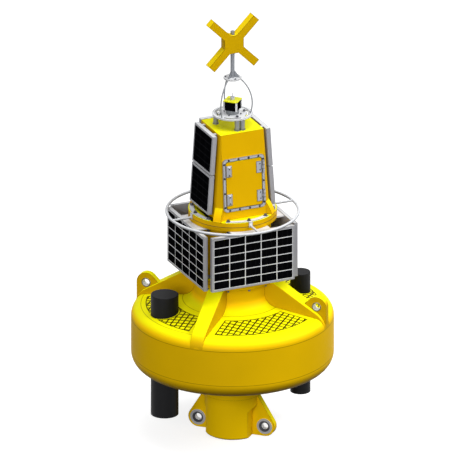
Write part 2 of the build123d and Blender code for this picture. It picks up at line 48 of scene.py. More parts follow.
Colour = tuple[float, float, float]
Point = tuple[float, float, float]
Socket = bpy.types.NodeSocket

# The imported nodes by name, and the materials made so far by finish
NODES: dict[str, bpy.types.Object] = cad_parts
MADE: dict[str, bpy.types.Material] = {}

# The two bodies, and the attribute that tells a place on a solar cell
BUOY = "buoy"
DOOR = "door"
CELL_PLACE = "cell_place"

# Measures: lengths are in metres, and azimuths in degrees from -Y towards +X
MM = 0.001
DIAGONAL = math.sqrt(0.5)
QUARTERS = (0, 90, 180, 270)
X_AZIMUTH = 90
HEXAGON = 6

# Edges: which ones are sharp, and how a copy of a CAD node is cleaned and trimmed
SHARP_ANGLE = math.radians(32)
FLAT_ANGLE = math.radians(0.4)
WELD_DISTANCE = 2e-6
TRIM_SEGMENTS = 2

# Settings that all finishes share
NOISE_ROUGHNESS = 0.55
COAT_ROUGHNESS = 0.12

# Painted shade as dark lines at edges and in corners: how alike the rounded and the plain normal are in a
# line and beside it
LINE_CORE = 0.93
LINE_EDGE = 0.995
LINE_TONE = 0.05
LINE_SAMPLES = 6
LINE_FADE_IN = 10 * MM

# Painted light and shade, by the upward part of a face's normal: paler steep and level faces stand in for
# light from above, darker undersides for shade
STEEP_FACES = (0.05, 0.45)
LEVEL_FACES = (0.35, 0.85)
UNDERSIDES = (-0.72, -0.05)
STEEP_PAINTED_LIGHT = 1.32
UNDERSIDE_PAINTED_SHADE_SHARE = 0.85
UNDERSIDE_PAINTED_SHADE_TONE = 0.1


class Slot(Enum):
    """The record's material slots."""

    HULL = "hull_yellow"
    TOWER = "tower_yellow"
    TOPMARK = "topmark_yellow"
    LANTERN = "lantern_yellow"
    PIPE = "black_pipe"
    STEEL = "steel"
    FRAME = "panel_frame"
    CELLS = "solar_cells"
    LANTERN_CELLS = "lantern_cells"
    WHITE = "white_paint"
    GREY = "grey_plastic"
    LENS = "lantern_lens"
    RUBBER = "gasket_rubber"


class Graph:
    """A node tree with short calls to add nodes and join them."""

    def __init__(self, tree: bpy.types.NodeTree) -> None:
        """Keep the shader or geometry node tree to fill."""
        self.tree = tree

    def add(self, kind: str, inputs: dict[Any, Any] | None = None, **settings: Any) -> bpy.types.Node:
        """Add one node.

        Args:
            kind: The node's type name.
            inputs: Values or sockets for its inputs, by name or index.
            settings: Properties of the node.

        Returns:
            The new node.
        """
        node = self.tree.nodes.new(kind)
        for key, value in settings.items():
            setattr(node, key, value)
        for key, value in (inputs or {}).items():
            if isinstance(value, Socket):
                self.link(value, node.inputs[key])
            else:
                node.inputs[key].default_value = value
        return node

    def output(self, kind: str, inputs: dict[Any, Any] | None = None, **settings: Any) -> Socket:
        """The first output of a new node."""
        return self.add(kind, inputs, **settings).outputs[0]

    def link(self, source: Socket, target: Socket) -> None:
        """Link an output to an input."""
        self.tree.links.new(source, target)

    def math(self, operation: str, first: Any, second: Any = 0.0) -> Socket:
        """The result of one math step on values or sockets."""
        return self.output("ShaderNodeMath", {0: first, 1: second}, operation=operation)

    def vector(self, operation: str, first: Any, second: Any = (0.0, 0.0, 0.0)) -> Socket:
        """The result of one vector step: a number for a dot product or a length, and otherwise a vector."""
        node = self.add("ShaderNodeVectorMath", {0: first, 1: second}, operation=operation)
        return node.outputs["Value" if operation in ("DOT_PRODUCT", "LENGTH") else "Vector"]

    def part(self, vector: Socket, axis: str) -> Socket:
        """One part of a vector: X, Y or Z."""
        return self.add("ShaderNodeSeparateXYZ", {0: vector}).outputs[axis]

    def flat(self, vector: Socket) -> Socket:
        """A vector without its height."""
        return self.vector("MULTIPLY", vector, (1.0, 1.0, 0.0))

    def outwards(self, place: Socket) -> Socket:
        """The level direction from the buoy's axis to a place."""
        return self.vector("NORMALIZE", self.flat(place))

    def hypotenuse(self, first: Socket, second: Socket) -> Socket:
        """The long side of a right-angled triangle."""
        squares = [self.math("POWER", side, 2.0) for side in (first, second)]
        return self.math("SQRT", self.math("ADD", *squares))

    def span(
        self, value: Socket, low: float, high: float, to_low: float, to_high: float, **kind: str
    ) -> Socket:
        """A value mapped from one range to another and clamped, in a line unless the kind says otherwise."""
        inputs = {"Value": value, "From Min": low, "From Max": high, "To Min": to_low, "To Max": to_high}
        return self.add("ShaderNodeMapRange", inputs, **kind).outputs["Result"]

    def mix(self, share: Any, first: Any, second: Any) -> Socket:
        """Two colours or sockets of colours mixed, by the share of the second one."""
        pair = [value if isinstance(value, Socket) else (*value, 1.0) for value in (first, second)]
        return self.add("ShaderNodeMix", {0: share, 6: pair[0], 7: pair[1]}, data_type="RGBA").outputs[2]


@dataclass(frozen=True)
class Pattern:
    """A noise pattern: its repeats for each metre, its octaves, and the part of its range that counts."""

    scale: float
    detail: float = 3.0
    low: float = 0.3
    high: float = 0.7
    stretch: tuple[float, float, float] | None = None


@dataclass(frozen=True)
class Relief:
    """A pattern that stands out of the surface, by a depth in metres."""

    pattern: Pattern
    strength: float
    depth: float


@dataclass(frozen=True)
class Shine:
    """How the roughness wanders: its pattern, and how far it goes under and over the finish's own."""

    pattern: Pattern
    under: float
    over: float


class Shading(Graph):
    """A material's graph, with its shader and the coordinates that patterns read."""

    def __init__(self, material: bpy.types.Material) -> None:
        """Find the shader and add the coordinates.

        Args:
            material: The material, with its nodes in use.
        """
        super().__init__(material.node_tree)
        self.shader = self.tree.nodes["Principled BSDF"]
        coords = self.add("ShaderNodeTexCoord")
        self.place = coords.outputs["Object"]
        self.normal = coords.outputs["Normal"]

    def join(self, **sockets: Socket) -> None:
        """Link sockets to the shader's inputs, with underscores for the spaces in their names."""
        for name, socket in sockets.items():
            self.link(socket, self.shader.inputs[name.replace("_", " ")])

    def noise(self, pattern: Pattern) -> Socket:
        """A pattern over its full range.

        Args:
            pattern: The pattern.

        Returns:
            The value's socket.
        """
        place = self.place
        if pattern.stretch is not None:
            place = self.output("ShaderNodeMapping", {"Vector": place, "Scale": pattern.stretch})
        inputs = {"Vector": place, "Scale": pattern.scale, "Detail": pattern.detail}
        inputs["Roughness"] = NOISE_ROUGHNESS
        return self.add("ShaderNodeTexNoise", inputs).outputs["Fac"]

    def pattern(self, pattern: Pattern, low: float = 0.0, high: float = 1.0) -> Socket:
        """A pattern mapped from the part of its range that counts to a range of values."""
        return self.span(self.noise(pattern), pattern.low, pattern.high, low, high)

    def surface(self, reliefs: Sequence[Relief]) -> Socket | None:
        """The normal of one or more reliefs, each on top of the one before.

        Args:
            reliefs: The reliefs, the deepest one first.

        Returns:
            The normal's socket, or None without any relief.
        """
        normal = None
        for relief in reliefs:
            height = self.noise(relief.pattern)
            inputs = {"Strength": relief.strength, "Distance": relief.depth, "Height": height}
            if normal is not None:
                inputs["Normal"] = normal
            normal = self.add("ShaderNodeBump", inputs).outputs["Normal"]
        return normal


@dataclass(frozen=True)
class Finish:
    """A surface finish; each subclass draws its own colour and may add marks of its own.

    The outline is how dark the painted lines of shade at edges are, and they start at the height
    outline_above.
    """

    name: str
    slot: Slot
    colour: Colour
    roughness: float = 0.45
    metallic: float = 0.0
    coat: float = 0.0
    specular: float = 0.5
    outline: float = 0.0
    outline_width: float = 5 * MM
    outline_above: float = -1.0
    # Painted light: the colour that level faces take, standing in for light from above, and its share
    painted_top_light: Colour | None = None
    top_light_share: float = 0.97
    shine: Shine = Shine(Pattern(45.0), under=0.05, over=0.06)
    reliefs: tuple[Relief, ...] = ()

    def material(self) -> bpy.types.Material:
        """The finish's material, made on first use.

        Returns:
            The Blender material.
        """
        if self.name in MADE:
            return MADE[self.name]
        made = bpy.data.materials.new(f"{self.name}_finish")
        MADE[self.name] = made
        made.use_nodes = True
        made.diffuse_color = (*self.colour, 1.0)
        shade = Shading(made)
        settings = {
            "Metallic": self.metallic,
            "Roughness": self.roughness,
            "Specular IOR Level": self.specular,
            "Coat Weight": self.coat,
            "Coat Roughness": COAT_ROUGHNESS,
        }
        for label, value in settings.items():
            shade.shader.inputs[label].default_value = value
        colour = self.marked(shade, self.with_painted_light_and_shade(shade, self.coloured(shade)))
        under, over = self.roughness - self.shine.under, self.roughness + self.shine.over
        rough = shade.pattern(self.shine.pattern, under, over)
        shade.join(Base_Color=self.outlined(shade, colour), Roughness=rough)
        normal = shade.surface(self.reliefs)
        if normal is not None:
            shade.join(Normal=normal)
        return made

    def tone(self, share: float) -> Colour:
        """The finish's colour scaled by a share, and kept within white."""
        return tuple(min(1.0, channel * share) for channel in self.colour)

    def coloured(self, shade: Shading) -> Socket:
        """The finish's own colour and its pattern."""
        raise NotImplementedError

    def with_painted_light_and_shade(self, shade: Shading, colour: Socket) -> Socket:
        """The colour with painted light on its upper sides and painted shade on its undersides.

        Args:
            shade: The material's graph.
            colour: Socket of the colour so far.

        Returns:
            The colour's socket, unchanged for a finish without painted top light.
        """
        if self.painted_top_light is None:
            return colour
        up = shade.part(shade.normal, "Z")
        for faces, paler in ((STEEP_FACES, self.tone(STEEP_PAINTED_LIGHT)), (LEVEL_FACES, self.painted_top_light)):
            painted_light_share = shade.span(up, *faces, 0.0, self.top_light_share, interpolation_type="SMOOTHSTEP")
            colour = shade.mix(painted_light_share, colour, paler)
        # Painted shade: undersides darkened, standing in for the shade under things
        return shade.mix(shade.span(up, *UNDERSIDES, UNDERSIDE_PAINTED_SHADE_SHARE, 0.0), colour, self.tone(UNDERSIDE_PAINTED_SHADE_TONE))

    def marked(self, shade: Shading, colour: Socket) -> Socket:
        """The colour with the marks that only this finish has."""
        return colour

    def outlined(self, shade: Shading, colour: Socket) -> Socket:
        """The colour with painted shade as dark lines along sharp edges and in corners.

        Args:
            shade: The material's graph.
            colour: Socket of the colour so far.

        Returns:
            The colour's socket, unchanged for a finish without lines.
        """
        if self.outline == 0.0:
            return colour
        # Painted shade: darker where the rounded normal differs from the plain one, at edges and in corners
        rounded = shade.add("ShaderNodeBevel", {"Radius": self.outline_width}, samples=LINE_SAMPLES)
        plain = shade.add("ShaderNodeNewGeometry")
        same = shade.vector("DOT_PRODUCT", rounded.outputs["Normal"], plain.outputs["Normal"])
        line = shade.span(same, LINE_CORE, LINE_EDGE, self.outline, 0.0)
        height = shade.part(shade.place, "Z")
        above = shade.span(height, self.outline_above, self.outline_above + LINE_FADE_IN, 0.0, 1.0)
        return shade.mix(shade.math("MULTIPLY", line, above), colour, self.tone(LINE_TONE))


@dataclass(frozen=True)
class MouldedYellow(Finish):
    """Rotationally moulded polyethylene: faint mottling, painted light on its upper sides and a fine skin.
    """

    roughness: float = 0.5
    specular: float = 0.03
    outline: float = 0.7
    painted_top_light: Colour | None = (0.90, 0.86, 0.002)
    shine: Shine = Shine(Pattern(30.0), under=0.05, over=0.07)
    reliefs: tuple[Relief, ...] = (
        Relief(Pattern(9.0, detail=2.0), strength=0.2, depth=1.2 * MM),
        Relief(Pattern(420.0, detail=2.0), strength=0.2, depth=0.4 * MM),
    )
    mottle: Pattern = Pattern(2.2, detail=4.0)
    mottle_tone: float = 0.03
    level_lines: tuple[float, ...] = ()
    ring_lines: tuple[float, ...] = ()
    line_core: float = 1.6 * MM
    line_edge: float = 3.4 * MM
    line_share: float = 0.62
    line_tone: float = 0.12

    def coloured(self, shade: Shading) -> Socket:
        """The yellow with its mottling."""
        tones = (self.tone(1 - self.mottle_tone), self.tone(1 + self.mottle_tone))
        return shade.mix(shade.pattern(self.mottle), *tones)

    def marked(self, shade: Shading, colour: Socket) -> Socket:
        """The colour with fine moulding lines, at given heights and given distances from the axis.

        Args:
            shade: The material's graph.
            colour: Socket of the colour so far.

        Returns:
            The colour's socket.
        """
        height = shade.part(shade.place, "Z")
        radius = shade.vector("LENGTH", shade.flat(shade.place))
        for place, stops in ((height, self.level_lines), (radius, self.ring_lines)):
            for stop in stops:
                away = shade.math("ABSOLUTE", shade.math("SUBTRACT", place, stop))
                line = shade.span(away, self.line_core, self.line_edge, self.line_share, 0.0)
                colour = shade.mix(line, colour, self.tone(self.line_tone))
        return colour


@dataclass(frozen=True)
class PaintedMetal(Finish):
    """Satin paint on metal: a slight orange peel, faint patches and run-off."""

    reliefs: tuple[Relief, ...] = (Relief(Pattern(300.0, detail=2.0), strength=0.12, depth=0.3 * MM),)
    patches: Pattern = Pattern(4.0, detail=4.0, low=0.35)
    patch_tones: tuple[float, float] = (0.97, 1.02)
    streaks: Pattern = Pattern(1.0, low=0.55, high=0.8, stretch=(26.0, 26.0, 1.6))
    streak_tone: float = 0.8
    dirt: float = 0.10

    def coloured(self, shade: Shading) -> Socket:
        """The paint with its patches and its upright streaks.

        Args:
            shade: The material's graph.

        Returns:
            The colour's socket.
        """
        dark, pale = (self.tone(share) for share in self.patch_tones)
        colour = shade.mix(shade.pattern(self.patches), dark, pale)
        return shade.mix(shade.pattern(self.streaks, 0.0, self.dirt), colour, self.tone(self.streak_tone))


@dataclass(frozen=True)
class Eye:
    """Where a pair of eyes lies on the lugs' diagonal, and the two rings of painted shade on its lining's
    ends.
    """

    distance: float
    height: float
    radius: float
    inner: Colour
    outer: Colour


DRAWN_LINES = Pattern(1.0, detail=2.0, stretch=(900.0, 900.0, 14.0))


@dataclass(frozen=True)
class BrushedMetal(Finish):
    """Stainless steel or anodised aluminium with fine drawn lines."""

    top_light_share: float = 1.0
    shine: Shine = Shine(Pattern(18.0), under=0.06, over=0.08)
    reliefs: tuple[Relief, ...] = (Relief(DRAWN_LINES, strength=0.15, depth=0.1 * MM),)
    drawn_tones: tuple[float, float] = (0.90, 1.06)
    clouds: Pattern = Pattern(18.0, low=0.5, high=0.8)
    cloud_share: float = 0.25
    cloud_tone: float = 0.75
    # Painted light: a paler colour on faces that look at the buoy's axis, standing in for light inside the
    # shaded panel boxes
    back: Colour | None = None
    painted_light_back_faces: tuple[float, float] = (-0.6, -0.4)
    eye: Eye | None = None
    end_faces: tuple[float, float] = (0.3, 0.5)

    def coloured(self, shade: Shading) -> Socket:
        """The metal with its drawn lines and slight clouds.

        Args:
            shade: The material's graph.

        Returns:
            The colour's socket.
        """
        dark, pale = (self.tone(share) for share in self.drawn_tones)
        colour = shade.mix(shade.pattern(DRAWN_LINES), dark, pale)
        cloud = shade.pattern(self.clouds, 0.0, self.cloud_share)
        return shade.mix(cloud, colour, self.tone(self.cloud_tone))

    def marked(self, shade: Shading, colour: Socket) -> Socket:
        """The colour with painted light on the finish's backs and painted shade in its eyes' rings, where it
        has them.

        Args:
            shade: The material's graph.
            colour: Socket of the colour so far.

        Returns:
            The colour's socket.
        """
        # Painted light on the faces that look at the axis
        if self.back is not None:
            away = shade.vector("DOT_PRODUCT", shade.outwards(shade.place), shade.normal)
            colour = shade.mix(shade.span(away, *self.painted_light_back_faces, 1.0, 0.0), colour, self.back)
        if self.eye is not None:
            colour = self.with_painted_bore_shade(shade, colour, self.eye)
        return colour

    def with_painted_bore_shade(self, shade: Shading, colour: Socket, eye: Eye) -> Socket:
        """The colour with an eye's two rings of painted shade on the end faces of its lining, standing in
        for the shaded bore and its dark rim.

        Args:
            shade: The material's graph.
            colour: Socket of the colour in the bore.
            eye: The eye.

        Returns:
            The colour's socket.
        """
        along, across = (DIAGONAL, DIAGONAL, 0.0), (DIAGONAL, -DIAGONAL, 0.0)
        ends = shade.math("ABSOLUTE", shade.vector("DOT_PRODUCT", shade.normal, along))
        out = shade.math("ABSOLUTE", shade.vector("DOT_PRODUCT", shade.place, across))
        height = shade.part(shade.place, "Z")
        sides = (shade.math("SUBTRACT", out, eye.distance), shade.math("SUBTRACT", height, eye.height))
        outer = shade.math("GREATER_THAN", shade.hypotenuse(*sides), eye.radius)
        ring = shade.mix(outer, eye.inner, eye.outer)
        return shade.mix(shade.span(ends, *self.end_faces, 0.0, 1.0), colour, ring)


SCUFFS = Pattern(1.0, detail=4.0, low=0.56, high=0.8, stretch=(70.0, 70.0, 5.0))


@dataclass(frozen=True)
class ExtrudedPipe(Finish):
    """Black polyethylene pipe with long faint scuffs and a fine skin."""

    shine: Shine = Shine(SCUFFS, under=0.0, over=0.18)
    reliefs: tuple[Relief, ...] = (Relief(Pattern(350.0, detail=2.0), strength=0.2, depth=0.3 * MM),)
    scuff_share: float = 0.5
    scuff_tone: float = 2.4

    def coloured(self, shade: Shading) -> Socket:
        """The black with its scuffs."""
        scuff = shade.pattern(SCUFFS, 0.0, self.scuff_share)
        return shade.mix(scuff, self.colour, self.tone(self.scuff_tone))


CELL_CLOUDS = Pattern(7.0, detail=2.0)


@dataclass(frozen=True)
class CellFace(Finish):
    """A black solar cell under glass, with fine fingers and bars placed by each cell's own attribute."""

    shine: Shine = Shine(CELL_CLOUDS, under=0.0, over=0.05)
    cloud_tone: float = 1.7
    bars: float = 3.0
    bar_half: float = 0.012
    bar_share: float = 0.12
    bar_colour: Colour = (0.12, 0.12, 0.13)
    fingers: float = 26.0
    finger_width: float = 0.14
    finger_share: float = 0.05
    finger_colour: Colour = (0.05, 0.05, 0.06)

    def coloured(self, shade: Shading) -> Socket:
        """The cell with slight clouds, its fingers and its bars.

        Args:
            shade: The material's graph.

        Returns:
            The colour's socket.
        """
        place = shade.add("ShaderNodeAttribute", attribute_name=CELL_PLACE).outputs["Vector"]
        across, along = (
            shade.math("FRACT", shade.math("MULTIPLY", shade.part(place, axis), count))
            for axis, count in (("X", self.bars), ("Y", self.fingers))
        )
        off_middle = shade.math("ABSOLUTE", shade.math("SUBTRACT", across, 0.5))
        bar = shade.math("LESS_THAN", off_middle, self.bar_half)
        finger = shade.math("LESS_THAN", along, self.finger_width)
        colour = shade.mix(shade.pattern(CELL_CLOUDS), self.colour, self.tone(self.cloud_tone))
        colour = shade.mix(shade.math("MULTIPLY", finger, self.finger_share), colour, self.finger_colour)
        return shade.mix(shade.math("MULTIPLY", bar, self.bar_share), colour, self.bar_colour)


@dataclass(frozen=True)
class PlainPlastic(Finish):
    """Moulded plastic or rubber with slight tone changes and a fine grain."""

    shine: Shine = Shine(Pattern(60.0), under=0.04, over=0.05)
    reliefs: tuple[Relief, ...] = (Relief(Pattern(500.0, detail=2.0), strength=0.15, depth=0.2 * MM),)
    clouds: Pattern = Pattern(22.0)
    spread: float = 0.08

    def coloured(self, shade: Shading) -> Socket:
        """The plastic with its slight tone changes."""
        return shade.mix(shade.pattern(self.clouds), self.tone(1 - self.spread), self.tone(1 + self.spread))


# The float, its tail and the topmark
PLAIN_HULL_YELLOW = MouldedYellow("moulded_yellow_plain", Slot.HULL, (0.70, 0.425, 0.001))
HULL_YELLOW = replace(
    PLAIN_HULL_YELLOW, name="moulded_yellow", level_lines=(0.760, 1.077), ring_lines=(0.430, 0.790)
)
# Painted light: the tail and fins are paler than the hull, standing in for light in the hull's shadow
LIT_TAIL_YELLOW = replace(PLAIN_HULL_YELLOW, name="moulded_yellow_on_tail", colour=(0.92, 0.58, 0.001))
# Painted shade: the ribs' yellow is darker than the hull's, for their sides that face away from the light
SHADED_RIB_YELLOW = replace(
    PLAIN_HULL_YELLOW,
    name="moulded_yellow_on_ribs",
    colour=(0.58, 0.35, 0.001),
    outline=0.8,
    outline_width=6 * MM,
    outline_above=1.12,
)
# Painted shade: a near-black bed under the tread tiles, standing in for shade in the grooves
GROOVE_PAINTED_SHADE = replace(
    PLAIN_HULL_YELLOW,
    name="moulded_yellow_in_grooves",
    colour=(0.03, 0.025, 0.001),
    painted_top_light=(0.035, 0.03, 0.001),
    roughness=0.6,
    outline=0.0,
)
TOPMARK_YELLOW = MouldedYellow(
    "topmark_yellow",
    Slot.TOPMARK,
    (0.52, 0.315, 0.001),
    painted_top_light=(0.80, 0.60, 0.003),
    roughness=0.45,
    outline=0.95,
    outline_width=7 * MM,
)

# Painted metal
TOWER_YELLOW = PaintedMetal(
    "painted_yellow",
    Slot.TOWER,
    (0.655, 0.375, 0.001),
    painted_top_light=(0.84, 0.81, 0.002),
    roughness=0.42,
    specular=0.03,
    outline=0.7,
)
WHITE_PAINT = PaintedMetal(
    "white_paint", Slot.WHITE, (0.70, 0.71, 0.73), roughness=0.34, specular=0.2, dirt=0.05, outline=0.6
)
PLATE_PAINT = replace(WHITE_PAINT, name="white_paint_on_plates", outline=0.92, outline_width=8 * MM)
# Painted shade: the cage rods' white paint is drawn dark grey
SHADED_ROD_PAINT = replace(
    WHITE_PAINT, name="white_paint_on_rods", colour=(0.26, 0.27, 0.29), roughness=0.36, outline=0.0
)
# Painted shade: the ring's white paint is drawn mid grey, with painted light on its upper side
SHADED_RING_PAINT = replace(
    WHITE_PAINT,
    name="white_paint_on_ring",
    colour=(0.36, 0.37, 0.39),
    painted_top_light=(0.62, 0.63, 0.65),
    roughness=0.4,
    specular=0.1,
    outline=0.0,
)

# Bare metal
STEEL = BrushedMetal(
    "stainless_steel", Slot.STEEL, (0.21, 0.22, 0.24), roughness=0.38, metallic=0.4, outline=0.6
)
BOLT_STEEL = BrushedMetal("bolt_steel", Slot.STEEL, (0.10, 0.10, 0.12), roughness=0.30, metallic=0.6)
SCREW_STEEL = replace(
    BOLT_STEEL, name="screw_steel", colour=(0.03, 0.03, 0.035), roughness=0.35, metallic=0.2, specular=0.2
)
HATCH_STEEL = BrushedMetal(
    "hatch_steel",
    Slot.STEEL,
    (0.36, 0.37, 0.40),
    roughness=0.4,
    metallic=0.3,
    specular=0.2,
    outline=0.95,
    outline_width=7 * MM,
)
EYE_STEEL = BrushedMetal(
    "eye_steel",
    Slot.STEEL,
    (0.95, 0.95, 0.96),
    roughness=0.5,
    specular=0.2,
    # Painted shade: dark rings on the linings' ends, for the bore's shade and rim
    eye=Eye(
        distance=0.787, height=1.272, radius=30 * MM, inner=(0.08, 0.08, 0.09), outer=(0.08, 0.08, 0.09)
    ),
)
BUSH_STEEL = replace(
    EYE_STEEL,
    name="bush_steel",
    roughness=0.4,
    metallic=0.1,
    # Painted shade: a near-black inner ring for the shaded countersink, and a grey outer ring
    eye=Eye(
        distance=0.307, height=0.092, radius=50 * MM, inner=(0.07, 0.07, 0.08), outer=(0.42, 0.43, 0.46)
    ),
)
ALUMINIUM = BrushedMetal(
    "anodised_frame",
    Slot.FRAME,
    (0.30, 0.30, 0.32),
    painted_top_light=(0.62, 0.63, 0.65),
    # Painted light on the frames' faces that look at the axis
    back=(0.42, 0.43, 0.48),
    roughness=0.42,
    metallic=0.2,
    specular=0.2,
    outline=0.5,
)

# Pipes, cells, plastics and rubber
BLACK_PIPE = ExtrudedPipe(
    "black_pipe", Slot.PIPE, (0.0075, 0.0075, 0.0085), roughness=0.5, specular=0.1, outline=0.6
)
SOLAR_CELL = CellFace("solar_cell", Slot.CELLS, (0.0012, 0.0012, 0.0016), roughness=0.5, specular=0.0)
BACK_SHEET = PlainPlastic("cell_back_sheet", Slot.CELLS, (0.66, 0.67, 0.69), roughness=0.4, specular=0.1)
TOWER_BACK_SHEET = PlainPlastic(
    "tower_back_sheet", Slot.CELLS, (0.02, 0.02, 0.023), roughness=0.5, specular=0.0
)
LANTERN_YELLOW = PlainPlastic(
    "lantern_yellow", Slot.LANTERN, (0.80, 0.80, 0.01), roughness=0.3, specular=0.1, outline=0.5
)
LANTERN_CELL = PlainPlastic(
    "lantern_cells", Slot.LANTERN_CELLS, (0.002, 0.002, 0.003), roughness=0.4, specular=0.0
)
GREY_PLASTIC = PlainPlastic("grey_plastic", Slot.GREY, (0.16, 0.17, 0.18))
LENS = PlainPlastic("frosted_lens", Slot.LENS, (0.42, 0.43, 0.48), roughness=0.25, coat=0.3)
RUBBER = PlainPlastic("gasket_rubber", Slot.RUBBER, (0.012, 0.012, 0.013), roughness=0.7)


def placed(name: str, data: bpy.types.ID) -> bpy.types.Object:
    """A new object in the scene.

    Args:
        name: Its name.
        data: Its mesh, lamp or camera.

    Returns:
        The object.
    """
    made = bpy.data.objects.new(name, data)
    bpy.context.scene.collection.objects.link(made)
    return made


def settled(holder: bpy.types.Object) -> bpy.types.Mesh:
    """The evaluated mesh of an object, which is then removed.

    Args:
        holder: The object with its modifiers.

    Returns:
        A plain mesh.
    """
    graph = bpy.context.evaluated_depsgraph_get()
    result = bpy.data.meshes.new_from_object(holder.evaluated_get(graph), depsgraph=graph)
    old = holder.data
    bpy.data.objects.remove(holder)
    bpy.data.meshes.remove(old)
    return result


def unloaded(work: bmesh.types.BMesh, name: str) -> bpy.types.Mesh:
    """The mesh of a work mesh, which is then freed.

    Args:
        work: The work mesh.
        name: The mesh's name.

    Returns:
        The mesh.
    """
    mesh = bpy.data.meshes.new(name)
    work.to_mesh(mesh)
    work.free()
    return mesh


def skin(work: bmesh.types.BMesh, sections: Sequence[Sequence[Point]], looped: bool = False) -> None:
    """Skin a closed shape over sections, all with the same count of points.

    Args:
        work: The work mesh to add to.
        sections: The points of each section, in order.
        looped: True where the last section joins the first; otherwise both ends are capped.
    """
    rings = [[work.verts.new(point) for point in section] for section in sections]
    if looped:
        rings.append(rings[0])
    else:
        work.faces.new(list(reversed(rings[0])))
        work.faces.new(rings[-1])
    for low, high in zip(rings, rings[1:]):
        for i, corner in enumerate(low):
            j = (i + 1) % len(low)
            work.faces.new((corner, low[j], high[j], high[i]))
    bmesh.ops.recalc_face_normals(work, faces=work.faces)


def joined(meshes: Sequence[tuple[bpy.types.Mesh, Matrix]]) -> bpy.types.Mesh:
    """Join meshes, each moved by its matrix.

    Args:
        meshes: Pairs of mesh and matrix.

    Returns:
        The joined mesh.
    """
    work = bmesh.new()
    for mesh, matrix in meshes:
        copy = mesh.copy()
        copy.transform(matrix)
        work.from_mesh(copy)
        bpy.data.meshes.remove(copy)
    return unloaded(work, "joined")


def smoothed(mesh: bpy.types.Mesh) -> bpy.types.Mesh:
    """Shade a mesh smooth between its sharp edges.

    Args:
        mesh: The mesh.

    Returns:
        The same mesh.
    """
    mesh.polygons.foreach_set("use_smooth", [True] * len(mesh.polygons))
    mesh.set_sharp_from_angle(angle=SHARP_ANGLE)
    return mesh


def trimmed(mesh: bpy.types.Mesh, edge: float) -> bpy.types.Mesh:
    """A welded copy of a mesh with its sharp edges rounded.

    Args:
        mesh: The mesh to weld.
        edge: Width of the rounding in metres.

    Returns:
        The new mesh.
    """
    work = bmesh.new()
    work.from_mesh(mesh)
    bmesh.ops.remove_doubles(work, verts=work.verts, dist=WELD_DISTANCE)
    bmesh.ops.dissolve_limit(work, angle_limit=FLAT_ANGLE, verts=work.verts, edges=work.edges)
    holder = placed("holder", smoothed(unloaded(work, "clean")))
    bevel = holder.modifiers.new("edges", "BEVEL")
    bevel.width = edge
    bevel.segments = TRIM_SEGMENTS
    bevel.limit_method = "ANGLE"
    bevel.angle_limit = SHARP_ANGLE
    bevel.harden_normals = True
    bevel.use_clamp_overlap = True
    return settled(holder)


def spin(azimuth: float) -> Matrix:
    """A turn about the buoy's axis that brings its front to an azimuth."""
    return Matrix.Rotation(math.radians(azimuth), 4, "Z")


class Workshop:
    """Places finished pieces on their bodies and counts them."""

    def __init__(self) -> None:
        """Start with no piece made."""
        self.made: list[str] = []

    def piece(self, name: str, mesh: bpy.types.Mesh, finish: Finish, body: str = BUOY) -> bpy.types.Object:
        """Register a mesh as a piece of the object.

        Args:
            name: The piece's name.
            mesh: Its mesh, in place.
            finish: Its finish.
            body: The body it rides on.

        Returns:
            The piece's object.
        """
        mesh.name = name
        mesh.materials.clear()
        mesh.materials.append(finish.material())
        made = placed(name, mesh)
        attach(made, body)
        self.made.append(name)
        LOG.info("%s: %d faces on %s", name, len(mesh.polygons), body)
        return made

    def dress(self, node: str, finish: Finish, edge: float = 0.0, body: str = BUOY) -> None:
        """Give a CAD node its finish, and where asked a copy with trimmed edges.

        Args:
            node: The CAD node's name.
            finish: Its finish.
            edge: Width of the trimmed edges in metres, or 0 to show the node itself.
            body: The body it rides on.
        """
        source = NODES[node]
        if edge == 0.0:
            source.data.materials.clear()
            source.data.materials.append(finish.material())
            LOG.info("%s: shown as packed", node)
            return
        shown = self.piece(f"{node}_shown", trimmed(source.data, edge), finish, body)
        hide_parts(node)


